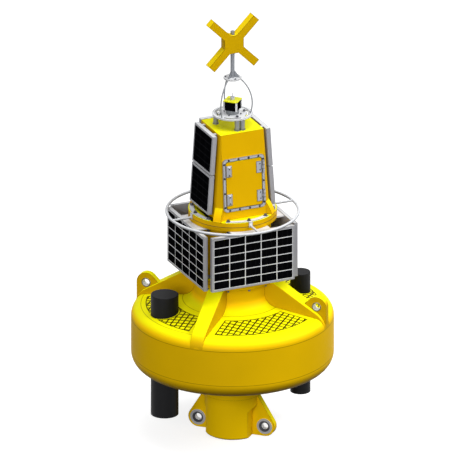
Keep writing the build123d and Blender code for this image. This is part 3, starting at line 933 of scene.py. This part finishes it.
class GeometryTree(Graph):
    """A Geometry Nodes tree with named inputs, run to give plain meshes."""

    def __init__(self, name: str, inputs: dict[str, float | int]) -> None:
        """Make the tree and its inputs.

        Args:
            name: The tree's name.
            inputs: Default values by name; whole numbers make integer inputs.
        """
        super().__init__(bpy.data.node_groups.new(name, "GeometryNodeTree"))
        interface = self.tree.interface
        interface.new_socket("Geometry", in_out="OUTPUT", socket_type="NodeSocketGeometry")
        self.keys: dict[str, str] = {}
        for label, value in inputs.items():
            kind = "NodeSocketInt" if isinstance(value, int) else "NodeSocketFloat"
            item = interface.new_socket(label, in_out="INPUT", socket_type=kind)
            item.default_value = value
            self.keys[label] = item.identifier
        self.entry = self.add("NodeGroupInput")

    def value(self, label: str) -> Socket:
        """The socket of a named input."""
        return self.entry.outputs[label]

    def scaled(self, label: str, share: float) -> Socket:
        """A share of a named input."""
        return self.math("MULTIPLY", self.value(label), share)

    def cylinder(self, sides: int, radius: Socket, depth: Any) -> Socket:
        """A cylinder's mesh, round the origin."""
        inputs = {"Vertices": sides, "Radius": radius, "Depth": depth}
        return self.output("GeometryNodeMeshCylinder", inputs)

    def lifted(self, geometry: Socket, rise: Any) -> Socket:
        """Geometry moved up by a rise."""
        move = self.output("ShaderNodeCombineXYZ", {2: rise})
        return self.output("GeometryNodeTransform", {0: geometry, "Translation": move})

    def gathered(self, *parts: Socket) -> Socket:
        """Several geometries as one.

        Args:
            parts: The geometries' sockets.

        Returns:
            The whole's socket.
        """
        whole = self.add("GeometryNodeJoinGeometry")
        for part in parts:
            self.link(part, whole.inputs[0])
        return whole.outputs[0]

    def stamped(self, points: Socket, shape: Socket, rotation: Any = (0.0, 0.0, 0.0)) -> Socket:
        """A shape set on every point."""
        inputs = {"Points": points, "Instance": shape, "Rotation": rotation}
        return self.output("GeometryNodeInstanceOnPoints", inputs)

    def given(self, name: str, mesh: bpy.types.Mesh) -> Socket:
        """A mesh made outside the tree, which reads it from an object that isn't shown.

        Args:
            name: The object's name.
            mesh: Its mesh.

        Returns:
            The geometry's socket.
        """
        source = bpy.data.objects.new(name, mesh)
        source.hide_render = True
        return self.add("GeometryNodeObjectInfo", {"Object": source}).outputs["Geometry"]

    def close(self, geometry: Socket, finish: Finish) -> None:
        """End the tree with realized instances in one material.

        Args:
            geometry: The geometry's socket.
            finish: The finish to set.
        """
        real = self.output("GeometryNodeRealizeInstances", {"Geometry": geometry})
        inputs = {"Geometry": real, "Material": finish.material()}
        self.add("NodeGroupOutput", {0: self.output("GeometryNodeSetMaterial", inputs)})

    def run(self, values: dict[str, float | int] | None = None) -> bpy.types.Mesh:
        """Evaluate the tree.

        Args:
            values: Input values by name, where they differ from the defaults.

        Returns:
            The plain mesh.
        """
        holder = placed("holder", bpy.data.meshes.new("holder"))
        modifier = holder.modifiers.new("nodes", "NODES")
        modifier.node_group = self.tree
        for label, value in (values or {}).items():
            modifier[self.keys[label]] = value
        return settled(holder)


@dataclass(frozen=True)
class BoltCircle:
    """Bolts or nuts round the buoy's axis: where they sit, and how they differ from the joints' bolts."""

    name: str
    height: float
    radius: float
    count: int = 12
    scale: float = 1.0
    azimuth: float = 90.0
    thread: float = 1 * MM
    up: bool = True


@dataclass
class Fasteners:
    """Hexagon bolts with washers, set round circles, and button screws, set one by one.

    The thread's radius is a share of the width across flats, and its rise a share of its length.
    """

    shop: Workshop
    joint_radius: float = 0.351
    across_flats: float = 24 * MM
    head: float = 13 * MM
    washer: float = 3 * MM
    washer_radius: float = 18 * MM
    washer_sides: int = 24
    thread_share: float = 0.33
    thread_rise: float = 0.45
    thread_sides: int = 16
    turn_step: float = 0.7
    button_radius: float = 7 * MM
    button_height: float = 4 * MM
    button_sides: int = 20
    button_top_share: float = 0.72
    socket_share: float = 0.42
    socket_depth: float = 0.6 * MM
    bolt_tree: GeometryTree = field(init=False)
    screw_tree: GeometryTree = field(init=False)

    def __post_init__(self) -> None:
        """Build the two trees."""
        self.bolt_tree = self.bolt_circle_tree()
        self.screw_tree = self.button_screw_tree()

    def values(self, ring: BoltCircle) -> dict[str, float | int]:
        """A circle's values by the names of the tree's inputs.

        Args:
            ring: The circle.

        Returns:
            The values.
        """
        return {
            "Count": ring.count,
            "Circle Radius": ring.radius,
            "Thread": ring.thread,
            "Across Flats": self.across_flats * ring.scale,
            "Head": self.head * ring.scale,
            "Washer": self.washer * ring.scale,
            "Washer Radius": self.washer_radius * ring.scale,
        }

    def bolt(self, tree: GeometryTree) -> Socket:
        """One bolt head on its washer, standing on the XY plane.

        Args:
            tree: The tree to add to.

        Returns:
            The shape's socket.
        """
        flats, head, seat = tree.value("Across Flats"), tree.value("Head"), tree.value("Washer")
        washer = tree.cylinder(self.washer_sides, tree.value("Washer Radius"), seat)
        hexagon = tree.cylinder(HEXAGON, tree.math("DIVIDE", flats, math.sqrt(3)), head)
        radius = tree.scaled("Across Flats", self.thread_share)
        thread = tree.cylinder(self.thread_sides, radius, tree.value("Thread"))
        top = tree.math("ADD", seat, head)
        return tree.gathered(
            tree.lifted(thread, tree.math("ADD", top, tree.scaled("Thread", self.thread_rise))),
            tree.lifted(hexagon, tree.math("ADD", seat, tree.scaled("Head", 0.5))),
            tree.lifted(washer, tree.scaled("Washer", 0.5)),
        )

    def bolt_circle_tree(self) -> GeometryTree:
        """The tree of bolts round a circle, each turned a little further than the one before.

        Returns:
            The tree.
        """
        tree = GeometryTree("bolt_circle", self.values(BoltCircle("joint_bolts", 0.0, self.joint_radius)))
        inputs = {"Vertices": tree.value("Count"), "Radius": tree.value("Circle Radius")}
        circle = tree.output("GeometryNodeMeshCircle", inputs)
        index = tree.output("GeometryNodeInputIndex")
        turn = tree.output("ShaderNodeCombineXYZ", {2: tree.math("MULTIPLY", index, self.turn_step)})
        tree.close(tree.stamped(circle, self.bolt(tree), turn), BOLT_STEEL)
        return tree

    def button_screw_tree(self) -> GeometryTree:
        """The tree of one low button screw with a socket.

        Returns:
            The tree.
        """
        tree = GeometryTree("button_screw", {"Radius": self.button_radius, "Height": self.button_height})
        button = {
            "Vertices": self.button_sides,
            "Radius Top": tree.scaled("Radius", self.button_top_share),
            "Radius Bottom": tree.value("Radius"),
            "Depth": tree.value("Height"),
        }
        head = tree.output("GeometryNodeMeshCone", button)
        socket = tree.cylinder(HEXAGON, tree.scaled("Radius", self.socket_share), self.socket_depth)
        tree.close(tree.gathered(tree.lifted(socket, tree.value("Height")), head), SCREW_STEEL)
        return tree

    def circle(self, ring: BoltCircle) -> None:
        """A circle of bolts or nuts as one piece.

        Args:
            ring: Where they sit and how they differ.
        """
        mesh = self.bolt_tree.run(self.values(ring))
        turn = Matrix.Identity(4) if ring.up else Matrix.Rotation(math.pi, 4, "X")
        mesh.transform(Matrix.Translation((0, 0, ring.height)) @ spin(ring.azimuth - X_AZIMUTH) @ turn)
        self.shop.piece(ring.name, smoothed(mesh), BOLT_STEEL)

    def screws(
        self, name: str, places: Sequence[Matrix], radius: float, height: float, body: str = BUOY
    ) -> None:
        """Button screws at given places as one piece.

        Args:
            name: The piece's name.
            places: A matrix for each screw, its seat on the XY plane.
            radius: Head radius.
            height: Head height.
            body: The body they ride on.
        """
        mesh = self.screw_tree.run({"Radius": radius, "Height": height})
        whole = joined([(mesh, place) for place in places])
        self.shop.piece(name, smoothed(whole), SCREW_STEEL, body)


@dataclass
class Hull:
    """The float, its tail, eyes and wells, and the treads moulded into its deck.

    A tile's levels are shares of its width with their heights, and a well is its X and its radius.
    """

    shop: Workshop
    deck_rim: float = 1.163
    deck_neck: float = 1.245
    neck_radius: float = 0.330
    hull_radius: float = 0.875
    tread_inner: float = 0.497
    tread_outer: float = 0.749
    rib_clearance: float = 0.116
    border: float = 7 * MM
    pitch: float = 50 * MM
    first_line: float = 0.120
    line_count: int = 13
    groove: float = 10.5 * MM
    tile_levels: tuple[tuple[float, float], ...] = ((1.0, -1.5 * MM), (0.99, 0.54 * MM), (0.95, 0.9 * MM))
    wells: tuple[tuple[float, float], ...] = ((-0.640, 0.120), (0.640, 0.0875))
    well_clearance: float = 12 * MM
    well_points: int = 48
    arc_points: int = 32
    cutter_reach: float = 50 * MM
    bed_height: float = 0.5 * MM
    bed_sectors: int = 144
    upper_side: float = 0.5

    def slope(self) -> float:
        """Fall of the deck for each metre outwards."""
        return (self.deck_neck - self.deck_rim) / (self.hull_radius - self.neck_radius)

    def deck_height(self, radius: float) -> float:
        """Height of the deck at a radius."""
        return self.deck_rim + self.slope() * (self.hull_radius - radius)

    def dress(self) -> None:
        """Finish the float and everything moulded or fixed to it."""
        self.shop.dress("hull", HULL_YELLOW)
        self.shop.dress("hull_ribs", SHADED_RIB_YELLOW, edge=3 * MM)
        self.shop.dress("tail_tube", LIT_TAIL_YELLOW)
        self.shop.dress("mooring_fins", LIT_TAIL_YELLOW, edge=2.5 * MM)
        self.shop.dress("mooring_bushes", BUSH_STEEL)
        self.shop.dress("lifting_bushes", EYE_STEEL)
        self.shop.dress("well_large", BLACK_PIPE)
        self.shop.dress("well_small", BLACK_PIPE)
        self.shop.piece("deck_tread_tiles", self.tread_tree().run(), PLAIN_HULL_YELLOW)
        self.shop.piece("deck_tread_bed", self.bed_tree().run(), GROOVE_PAINTED_SHADE)

    def tread_tree(self) -> GeometryTree:
        """The tree that sets rows of tiles parallel to the ribs, in the front zone and three turned copies.

        Returns:
            The tree.
        """
        inputs = {
            "Inner Radius": self.tread_inner,
            "Outer Radius": self.tread_outer,
            "First Line": self.first_line,
            "Pitch": self.pitch,
            "Count": self.line_count,
        }
        tree = GeometryTree("tread_tiles", inputs)
        points = self.tile_points(tree)
        place = tree.output("GeometryNodeInputPosition")
        lean = tree.vector("MULTIPLY", tree.outwards(place), (self.slope(),) * 3)
        normal = tree.vector("ADD", lean, (0.0, 0.0, 1.0))
        inputs = {"Vector": normal}
        turn = tree.output("FunctionNodeAlignRotationToVector", inputs, axis="Z", pivot_axis="AUTO")
        tiles = tree.stamped(points, tree.given("tile", self.tile_mesh()), turn)
        front = tree.output("GeometryNodeRealizeInstances", {"Geometry": tiles})
        zones = []
        for azimuth in QUARTERS:
            inputs = {0: front, "Rotation": (0.0, 0.0, math.radians(azimuth))}
            zones.append(tree.output("GeometryNodeTransform", inputs))
        tree.close(self.cut_to_zones(tree, tree.gathered(*zones), -self.border), PLAIN_HULL_YELLOW)
        return tree

    def tile_points(self, tree: GeometryTree) -> Socket:
        """Points on the deck where the front zone's tiles stand, in rows along the two ribs beside it.

        Args:
            tree: The tree to add to.

        Returns:
            The points' socket.
        """
        count, pitch = tree.value("Count"), tree.value("Pitch")
        index = tree.output("GeometryNodeInputIndex")
        start = tree.math("ADD", tree.value("First Line"), tree.scaled("Pitch", 0.5))
        steps = (tree.math("MODULO", index, count), tree.math("FLOOR", tree.math("DIVIDE", index, count)))
        first, second = (tree.math("ADD", start, tree.math("MULTIPLY", step, pitch)) for step in steps)
        radius = tree.hypotenuse(first, second)
        fall = tree.math("MULTIPLY", tree.math("SUBTRACT", self.hull_radius, radius), self.slope())
        parts = {
            0: tree.math("MULTIPLY", tree.math("SUBTRACT", first, second), DIAGONAL),
            1: tree.math("MULTIPLY", tree.math("ADD", first, second), -DIAGONAL),
            2: tree.math("ADD", self.deck_rim, fall),
        }
        place = tree.output("ShaderNodeCombineXYZ", parts)
        points = tree.output("GeometryNodePoints", {"Count": tree.math("MULTIPLY", count, count)})
        spread = tree.output("GeometryNodeSetPosition", {"Geometry": points, "Position": place})
        corner = tree.scaled("Pitch", DIAGONAL)
        inner, outer = tree.value("Inner Radius"), tree.value("Outer Radius")
        past_inner = tree.math("GREATER_THAN", radius, tree.math("SUBTRACT", inner, corner))
        within_outer = tree.math("LESS_THAN", radius, tree.math("ADD", outer, corner))
        inputs = {"Geometry": spread, "Selection": tree.math("MULTIPLY", past_inner, within_outer)}
        return tree.output("GeometryNodeSeparateGeometry", inputs, domain="POINT")

    def cut_to_zones(self, tree: GeometryTree, geometry: Socket, margin: float) -> Socket:
        """Cut a mesh to the tread zones, clear of the wells.

        Args:
            tree: The tree to add to.
            geometry: Socket of the mesh.
            margin: How far past the zones' outline it may run.

        Returns:
            The cut mesh's socket.
        """
        kept = tree.add("GeometryNodeMeshBoolean", operation="INTERSECT")
        tree.link(geometry, kept.inputs["Mesh 2"])
        tree.link(tree.given("tread_zones", self.zone_mesh(margin)), kept.inputs["Mesh 2"])
        inputs = {"Mesh 1": kept.outputs["Mesh"], "Mesh 2": tree.given("well_rings", self.well_mesh(margin))}
        return tree.add("GeometryNodeMeshBoolean", inputs, operation="DIFFERENCE").outputs["Mesh"]

    def prisms(self, outlines: Sequence[Sequence[tuple[float, float]]]) -> bpy.types.Mesh:
        """Upright prisms through the deck.

        Args:
            outlines: Each prism's corner points.

        Returns:
            The mesh.
        """
        work = bmesh.new()
        heights = (self.deck_rim - self.cutter_reach, self.deck_neck + self.cutter_reach)
        for outline in outlines:
            skin(work, [[(x, y, height) for x, y in outline] for height in heights])
        return unloaded(work, "prisms")

    def zone_mesh(self, margin: float) -> bpy.types.Mesh:
        """The four tread zones between the ribs, as prisms.

        Args:
            margin: How far to widen them.

        Returns:
            The mesh.
        """
        outlines = []
        for azimuth in QUARTERS:
            outline = []
            for radius, way in ((self.tread_inner - margin, 1), (self.tread_outer + margin, -1)):
                half = math.pi / 4 - math.asin((self.rib_clearance - margin) / radius)
                for step in range(self.arc_points + 1):
                    angle = math.radians(azimuth) + way * half * (2 * step / self.arc_points - 1)
                    outline.append((radius * math.sin(angle), -radius * math.cos(angle)))
            outlines.append(outline)
        return self.prisms(outlines)

    def well_mesh(self, margin: float) -> bpy.types.Mesh:
        """The discs round the wells that stay smooth, as prisms.

        Args:
            margin: How far to narrow them.

        Returns:
            The mesh.
        """
        outlines = []
        angles = [2 * math.pi * step / self.well_points for step in range(self.well_points)]
        for x, radius in self.wells:
            reach = radius + self.well_clearance - margin
            outlines.append([(x + reach * math.cos(angle), reach * math.sin(angle)) for angle in angles])
        return self.prisms(outlines)

    def tile_mesh(self) -> bpy.types.Mesh:
        """One tile: a low square frustum with its corners on the axes, parallel to the ribs.

        Returns:
            The mesh.
        """
        half = (self.pitch - self.groove) * DIAGONAL
        corners = ((half, 0), (0, half), (-half, 0), (0, -half))
        work = bmesh.new()
        skin(work, [[(x * share, y * share, z) for x, y in corners] for share, z in self.tile_levels])
        return unloaded(work, "tile")

    def bed_tree(self) -> GeometryTree:
        """The tree of the dark bed of painted shade under the tiles: the upper side of a thin cone cut to
        the zones.

        Returns:
            The tree.
        """
        tree = GeometryTree("tread_bed", {"Sectors": self.bed_sectors})
        inner, outer = self.tread_inner - self.cutter_reach, self.tread_outer + self.cutter_reach
        slab = {
            "Vertices": tree.value("Sectors"),
            "Radius Top": inner,
            "Radius Bottom": outer,
            "Depth": self.deck_height(inner) - self.deck_height(outer),
        }
        cone = tree.output("GeometryNodeMeshCone", slab)
        cut = self.cut_to_zones(tree, tree.lifted(cone, self.deck_height(outer) + self.bed_height), 0.0)
        normal = tree.output("GeometryNodeInputNormal")
        under = tree.math("LESS_THAN", tree.part(normal, "Z"), self.upper_side)
        inputs = {"Geometry": cut, "Selection": under}
        tree.close(tree.output("GeometryNodeDeleteGeometry", inputs, domain="FACE"), GROOVE_PAINTED_SHADE)
        return tree


@dataclass(frozen=True)
class TowerFace:
    """The tower's slanted front face, which the other three repeat round the axis."""

    top: float = 2.845
    half_top: float = 0.205
    slope: float = 0.068

    def plane(self, height: float) -> Matrix:
        """The face's plane at a height: X across, Y up the face, Z outwards.

        Args:
            height: Height of the plane's origin.

        Returns:
            The matrix.
        """
        distance = self.half_top + self.slope * (self.top - height)
        lean = Matrix.Rotation(math.pi / 2 - math.atan(self.slope), 4, "X")
        return Matrix.Translation((0, -distance, height)) @ lean


@dataclass
class SolarPanels:
    """Cells on the deck panels and the tower panels, with their frames."""

    shop: Workshop
    face: TowerFace
    lip: float = 18 * MM
    laminate_gap: float = 0.3 * MM
    glass_depth: float = 1 * MM
    cell_height: float = 0.8 * MM
    deck_size: tuple[float, float] = (0.780, 0.498)
    deck_grid: tuple[int, int] = (5, 6)
    deck_line: float = 8 * MM
    deck_distance: float = 0.442
    deck_middle: float = 1.754
    tower_size: tuple[float, float] = (0.388, 0.352)
    tower_grid: tuple[int, int] = (1, 5)
    tower_line: float = 4 * MM
    tower_gap: float = 12 * MM
    tower_front: float = 66 * MM
    tower_middle: float = 2.478

    def dress(self) -> None:
        """Finish the frames and brackets, and lay the cells."""
        for side in ("front", "right", "back", "left"):
            self.shop.dress(f"deck_panel_{side}", ALUMINIUM, edge=1.5 * MM)
        for side in ("right", "back", "left"):
            for row in ("upper", "lower"):
                self.shop.dress(f"tower_panel_{side}_{row}", ALUMINIUM, edge=1.2 * MM)
            self.shop.dress(f"tower_rails_{side}", ALUMINIUM)
        self.shop.dress("deck_cells", BACK_SHEET)
        self.shop.dress("tower_cells", TOWER_BACK_SHEET)
        self.shop.dress("deck_brackets_lower", WHITE_PAINT, edge=1.5 * MM)
        self.shop.dress("deck_brackets_upper", WHITE_PAINT, edge=1.5 * MM)
        self.cells()

    def sheet(self, size: tuple[float, float], grid: tuple[int, int], line: float) -> dict[str, float | int]:
        """A sheet's values by the names of the tree's inputs.

        Args:
            size: Width and height of the panel.
            grid: Columns and rows of cells.
            line: Width of the lines between cells.

        Returns:
            The values.
        """
        inset = 2 * (self.lip + self.laminate_gap)
        return {
            "Columns": grid[0],
            "Rows": grid[1],
            "Width": size[0] - inset,
            "Height": size[1] - inset,
            "Line": line,
            "Thickness": self.cell_height,
        }

    def cell_tree(self) -> GeometryTree:
        """The tree of a sheet of cells, with the deck panels' values as its defaults.

        Returns:
            The tree.
        """
        tree = GeometryTree("cell_sheet", self.sheet(self.deck_size, self.deck_grid, self.deck_line))
        grid, cell = {}, {2: tree.value("Thickness")}
        for index, (axis, extent, count) in enumerate((("X", "Width", "Columns"), ("Y", "Height", "Rows"))):
            pitch = tree.math("DIVIDE", tree.value(extent), tree.value(count))
            steps = tree.math("SUBTRACT", tree.value(count), 1.0)
            grid[f"Size {axis}"] = tree.math("MULTIPLY", pitch, steps)
            grid[f"Vertices {axis}"] = tree.value(count)
            cell[index] = tree.math("SUBTRACT", pitch, tree.value("Line"))
        size = tree.output("ShaderNodeCombineXYZ", cell)
        box = tree.output("GeometryNodeMeshCube", {"Size": size})
        inputs = {"Geometry": box, "Name": CELL_PLACE}
        named = tree.add("GeometryNodeStoreNamedAttribute", inputs, data_type="FLOAT_VECTOR", domain="POINT")
        value = next(entry for entry in named.inputs if entry.name == "Value" and entry.type == "VECTOR")
        position = tree.output("GeometryNodeInputPosition")
        tree.link(tree.vector("DIVIDE", position, size), value)
        points = tree.output("GeometryNodeMeshGrid", grid)
        tree.close(tree.stamped(points, named.outputs[0]), SOLAR_CELL)
        return tree

    def cells(self) -> None:
        """Lay cells on every panel, one piece for each group of panels."""
        tree = self.cell_tree()
        deck = tree.run()
        tower = tree.run(self.sheet(self.tower_size, self.tower_grid, self.tower_line))
        upright = Matrix.Rotation(math.pi / 2, 4, "X")
        front = Matrix.Translation((0, self.glass_depth - self.deck_distance, self.deck_middle)) @ upright
        sheets = [(deck, spin(azimuth) @ front) for azimuth in QUARTERS]
        self.shop.piece("deck_solar_cells", joined(sheets), SOLAR_CELL)
        sheets = []
        for azimuth in QUARTERS[1:]:
            for row in (1, -1):
                lift = row * (self.tower_size[1] + self.tower_gap) / 2
                glass = Matrix.Translation((0, lift, self.tower_front - self.glass_depth))
                sheets.append((tower, spin(azimuth) @ self.face.plane(self.tower_middle) @ glass))
        self.shop.piece("tower_solar_cells", joined(sheets), SOLAR_CELL)


@dataclass
class Tower:
    """Column, tower and hatch, with their fasteners and the column's gaskets.

    A joint has the heights of its nuts' and its bolts' seats, and a screw its radius and height.
    """

    shop: Workshop
    bolts: Fasteners
    face: TowerFace
    joints: tuple[tuple[str, float, float], ...] = (("lower", 1.450, 1.540), ("upper", 1.985, 2.081))
    nut_thread: float = 12 * MM
    gasket_middles: tuple[float, ...] = (1.488, 2.037)
    gasket_radii: tuple[float, float] = (0.3826, 0.3840)
    gasket_half: float = 1.5 * MM
    gasket_steps: int = 128
    hatch_middle: float = 2.387
    hatch_size: tuple[float, float] = (0.390, 0.478)
    hatch_strip: float = 23 * MM
    frame_front: float = 14 * MM
    frame_screw: tuple[float, float] = (9.5 * MM, 6 * MM)
    row_shares: tuple[float, ...] = (-0.76, -0.26, 0.26, 0.76)
    left_shares: tuple[float, ...] = (-0.86, -0.30, 0.30, 0.86)
    right_shares: tuple[float, ...] = (-0.86, 0.0, 0.86)
    leaf_screw: tuple[float, float] = (6 * MM, 3 * MM)
    leaf_middle: float = 0.129
    leaf_half: float = 28 * MM
    hinge_place: tuple[float, float] = (0.150, 0.0185)
    latch_place: tuple[float, float] = (-0.147, 0.0395)

    def dress(self) -> None:
        """Finish the column, the tower and the hatch, with all their fasteners."""
        self.shop.dress("column", TOWER_YELLOW, edge=2 * MM)
        self.shop.dress("tower", TOWER_YELLOW, edge=3 * MM)
        self.shop.dress("hatch_frame", HATCH_STEEL, edge=1.2 * MM)
        self.shop.dress("hatch_gasket", RUBBER)
        self.shop.dress("hatch_door", TOWER_YELLOW, edge=1.5 * MM, body=DOOR)
        self.shop.dress("hinge_door_leaves", HATCH_STEEL, body=DOOR)
        self.shop.dress("hinge_frame_leaves", HATCH_STEEL)
        self.shop.dress("hatch_latches", HATCH_STEEL, edge=1 * MM, body=DOOR)
        self.joint_bolts()
        self.joint_gaskets()
        self.hatch_screws()

    def joint_bolts(self) -> None:
        """Bolts and nuts of the column's two joints."""
        bolts = BoltCircle("joint_bolts", 0.0, self.bolts.joint_radius)
        nuts = replace(bolts, thread=self.nut_thread, up=False)
        for joint, nut_seat, bolt_seat in self.joints:
            self.bolts.circle(replace(bolts, name=f"{joint}_joint_bolts", height=bolt_seat))
            self.bolts.circle(replace(nuts, name=f"{joint}_joint_nuts", height=nut_seat))

    def joint_gaskets(self) -> None:
        """The thin dark edges of the gaskets in the column's two joints."""
        inner, outer = self.gasket_radii
        work = bmesh.new()
        for middle in self.gasket_middles:
            low, high = middle - self.gasket_half, middle + self.gasket_half
            outline = ((inner, low), (outer, low), (outer, high), (inner, high))
            turns = [2 * math.pi * step / self.gasket_steps for step in range(self.gasket_steps)]
            sections = [[(r * math.cos(turn), r * math.sin(turn), z) for r, z in outline] for turn in turns]
            skin(work, sections, looped=True)
        self.shop.piece("joint_gaskets", smoothed(unloaded(work, "joint_gaskets")), RUBBER)

    def hatch_screws(self) -> None:
        """Screws round the hatch's frame and in its hinges and latches."""
        plane = self.face.plane(self.hatch_middle)
        across, up = ((size - self.hatch_strip) / 2 for size in self.hatch_size)
        spots = [(share * across, side * up) for side in (-1, 1) for share in self.row_shares]
        spots += [(-across, share * up) for share in self.left_shares]
        spots += [(across, share * up) for share in self.right_shares]
        places = [plane @ Matrix.Translation((*spot, self.frame_front)) for spot in spots]
        self.bolts.screws("hatch_frame_screws", places, *self.frame_screw)
        middles = (-self.leaf_middle, self.leaf_middle)
        rows = [middle + side * self.leaf_half for middle in middles for side in (-1, 1)]
        for name, (x, front) in (("hinge_screws", self.hinge_place), ("latch_screws", self.latch_place)):
            places = [plane @ Matrix.Translation((x, row, front)) for row in rows]
            self.bolts.screws(name, places, *self.leaf_screw, DOOR)


@dataclass
class Rigging:
    """Guard ring, instrument plate, lantern, cage, mast and topmark."""

    shop: Workshop
    bolts: Fasteners
    plate_top: float = 2.955
    disc_top: float = 3.285

    def dress(self) -> None:
        """Finish everything above and round the tower."""
        self.shop.dress("guard_ring", SHADED_RING_PAINT)
        self.shop.dress("guard_straps", PLATE_PAINT, edge=1 * MM)
        self.shop.dress("top_standoffs", STEEL)
        self.shop.dress("top_plate", PLATE_PAINT, edge=1 * MM)
        self.shop.dress("lantern_base", GREY_PLASTIC, edge=1.5 * MM)
        self.shop.dress("lantern_body", LANTERN_CELL, edge=1 * MM)
        self.shop.dress("lantern_posts", WHITE_PAINT, edge=1 * MM)
        self.shop.dress("lantern_lid", LANTERN_YELLOW, edge=1 * MM)
        self.shop.dress("lantern_lens", LENS)
        self.shop.dress("cage_rods", SHADED_ROD_PAINT)
        self.shop.dress("cage_disc", PLATE_PAINT, edge=1 * MM)
        self.shop.dress("mast", STEEL)
        self.shop.dress("mast_gussets", STEEL, edge=0.8 * MM)
        self.shop.dress("topmark", TOPMARK_YELLOW, edge=2.5 * MM)
        plate = BoltCircle("plate_bolts", self.plate_top, radius=0.108, count=4, scale=0.75, azimuth=-2.0)
        base = replace(plate, name="lantern_base_bolts", radius=0.078, scale=0.45, azimuth=43.0)
        disc = BoltCircle("cage_disc_bolts", self.disc_top, radius=0.060, count=3, scale=0.5, azimuth=0.0)
        for ring in (plate, base, disc):
            self.bolts.circle(ring)


@dataclass(frozen=True)
class Lamp:
    """A soft square lamp: its direction in degrees, its side in metres and its power in watts."""

    name: str
    azimuth: float
    elevation: float
    size: float
    power: float


@dataclass
class Studio:
    """Camera, lamps, surround and floor."""

    scale: float = 4.008
    azimuth: float = -24.0
    elevation: float = 22.1
    aim: float = 1.8385
    distance: float = 14.0
    clip_end: float = 100.0
    lamps: tuple[Lamp, ...] = (
        Lamp("key", azimuth=50.0, elevation=38.0, size=9.0, power=1680.0),
        Lamp("fill", azimuth=-42.0, elevation=15.0, size=5.0, power=860.0),
        Lamp("top", azimuth=0.0, elevation=90.0, size=9.0, power=1100.0),
    )
    lamp_aim: float = 1.6
    surround_light: float = 0.40
    floor_half: float = 40.0
    floor_bounce: float = 0.05
    floor_tone: float = 0.45
    floor_glow: float = 0.76

    def build(self) -> None:
        """Set the camera, the lamps, the surround and the floor."""
        self.camera()
        self.surround()
        for lamp in self.lamps:
            self.light(lamp)
        self.floor()
        bpy.context.scene.view_settings.view_transform = "Standard"

    def aimed(self, data: bpy.types.ID, azimuth: float, elevation: float, aim: float) -> bpy.types.Object:
        """Put an object at the studio's distance, looking at the buoy's axis.

        Args:
            data: The camera or the lamp.
            azimuth: Degrees from -Y towards +X.
            elevation: Degrees above the level.
            aim: Height on the axis that it looks at.

        Returns:
            The object.
        """
        turn, rise = math.radians(azimuth), math.radians(elevation)
        back = Vector((math.sin(turn) * math.cos(rise), -math.cos(turn) * math.cos(rise), math.sin(rise)))
        made = placed(data.name, data)
        made.location = Vector((0, 0, aim)) + back * self.distance
        made.rotation_euler = (-back).to_track_quat("-Z", "Y").to_euler()
        return made

    def camera(self) -> None:
        """A parallel camera at the photograph's angle."""
        data = bpy.data.cameras.new("view")
        data.type = "ORTHO"
        data.ortho_scale = self.scale
        data.clip_end = self.clip_end
        bpy.context.scene.camera = self.aimed(data, self.azimuth, self.elevation, self.aim)

    def light(self, lamp: Lamp) -> None:
        """Set up one lamp, aimed at the buoy.

        Args:
            lamp: The lamp.
        """
        data = bpy.data.lights.new(lamp.name, "AREA")
        data.shape = "SQUARE"
        data.size = lamp.size
        data.energy = lamp.power
        self.aimed(data, lamp.azimuth, lamp.elevation, self.lamp_aim)

    def seen(self, graph: Graph) -> Socket:
        """1 for rays that see the backdrop straight, in a gloss or through glass.

        Args:
            graph: The graph to add to.

        Returns:
            The value's socket.
        """
        rays = graph.add("ShaderNodeLightPath").outputs
        straight = graph.math("MAXIMUM", rays["Is Camera Ray"], rays["Is Glossy Ray"])
        return graph.math("MAXIMUM", straight, rays["Is Transmission Ray"])

    def surround(self) -> None:
        """A white surround, dimmer as a light than it looks."""
        world = bpy.data.worlds.new("surround")
        world.use_nodes = True
        graph = Graph(world.node_tree)
        background = world.node_tree.nodes["Background"]
        background.inputs["Color"].default_value = (1.0, 1.0, 1.0, 1.0)
        strength = graph.span(self.seen(graph), 0.0, 1.0, self.surround_light, 1.0)
        graph.link(strength, background.inputs["Strength"])
        bpy.context.scene.world = world

    def floor(self) -> None:
        """A pale floor that keeps the buoy's shadow and throws little light back."""
        half = self.floor_half
        mesh = bpy.data.meshes.new("floor")
        corners = [(-half, -half, 0), (half, -half, 0), (half, half, 0), (-half, half, 0)]
        mesh.from_pydata(corners, [], [(0, 1, 2, 3)])
        material = bpy.data.materials.new("floor")
        material.use_nodes = True
        nodes = material.node_tree.nodes
        nodes.remove(nodes["Principled BSDF"])
        graph = Graph(material.node_tree)
        plain, dim = (
            graph.output("ShaderNodeBsdfDiffuse", {"Color": (tone, tone, tone, 1.0)})
            for tone in (self.floor_bounce, self.floor_tone)
        )
        glow = graph.output("ShaderNodeEmission", {"Strength": self.floor_glow})
        shown = graph.output("ShaderNodeAddShader", {0: dim, 1: glow})
        mixed = graph.output("ShaderNodeMixShader", {0: self.seen(graph), 1: plain, 2: shown})
        graph.link(mixed, nodes["Material Output"].inputs["Surface"])
        mesh.materials.append(material)
        floor = placed("floor", mesh)


def main() -> None:
    """Build the studio, then each sub-assembly from the water up."""
    logging.basicConfig(level=logging.INFO, format="%(name)s %(message)s")
    shop = Workshop()
    bolts = Fasteners(shop)
    face = TowerFace()
    Studio().build()
    Hull(shop).dress()
    SolarPanels(shop, face).dress()
    Tower(shop, bolts, face).dress()
    Rigging(shop, bolts).dress()
    LOG.info("%d pieces made", len(shop.made))


if __name__ == "__main__":
    main()
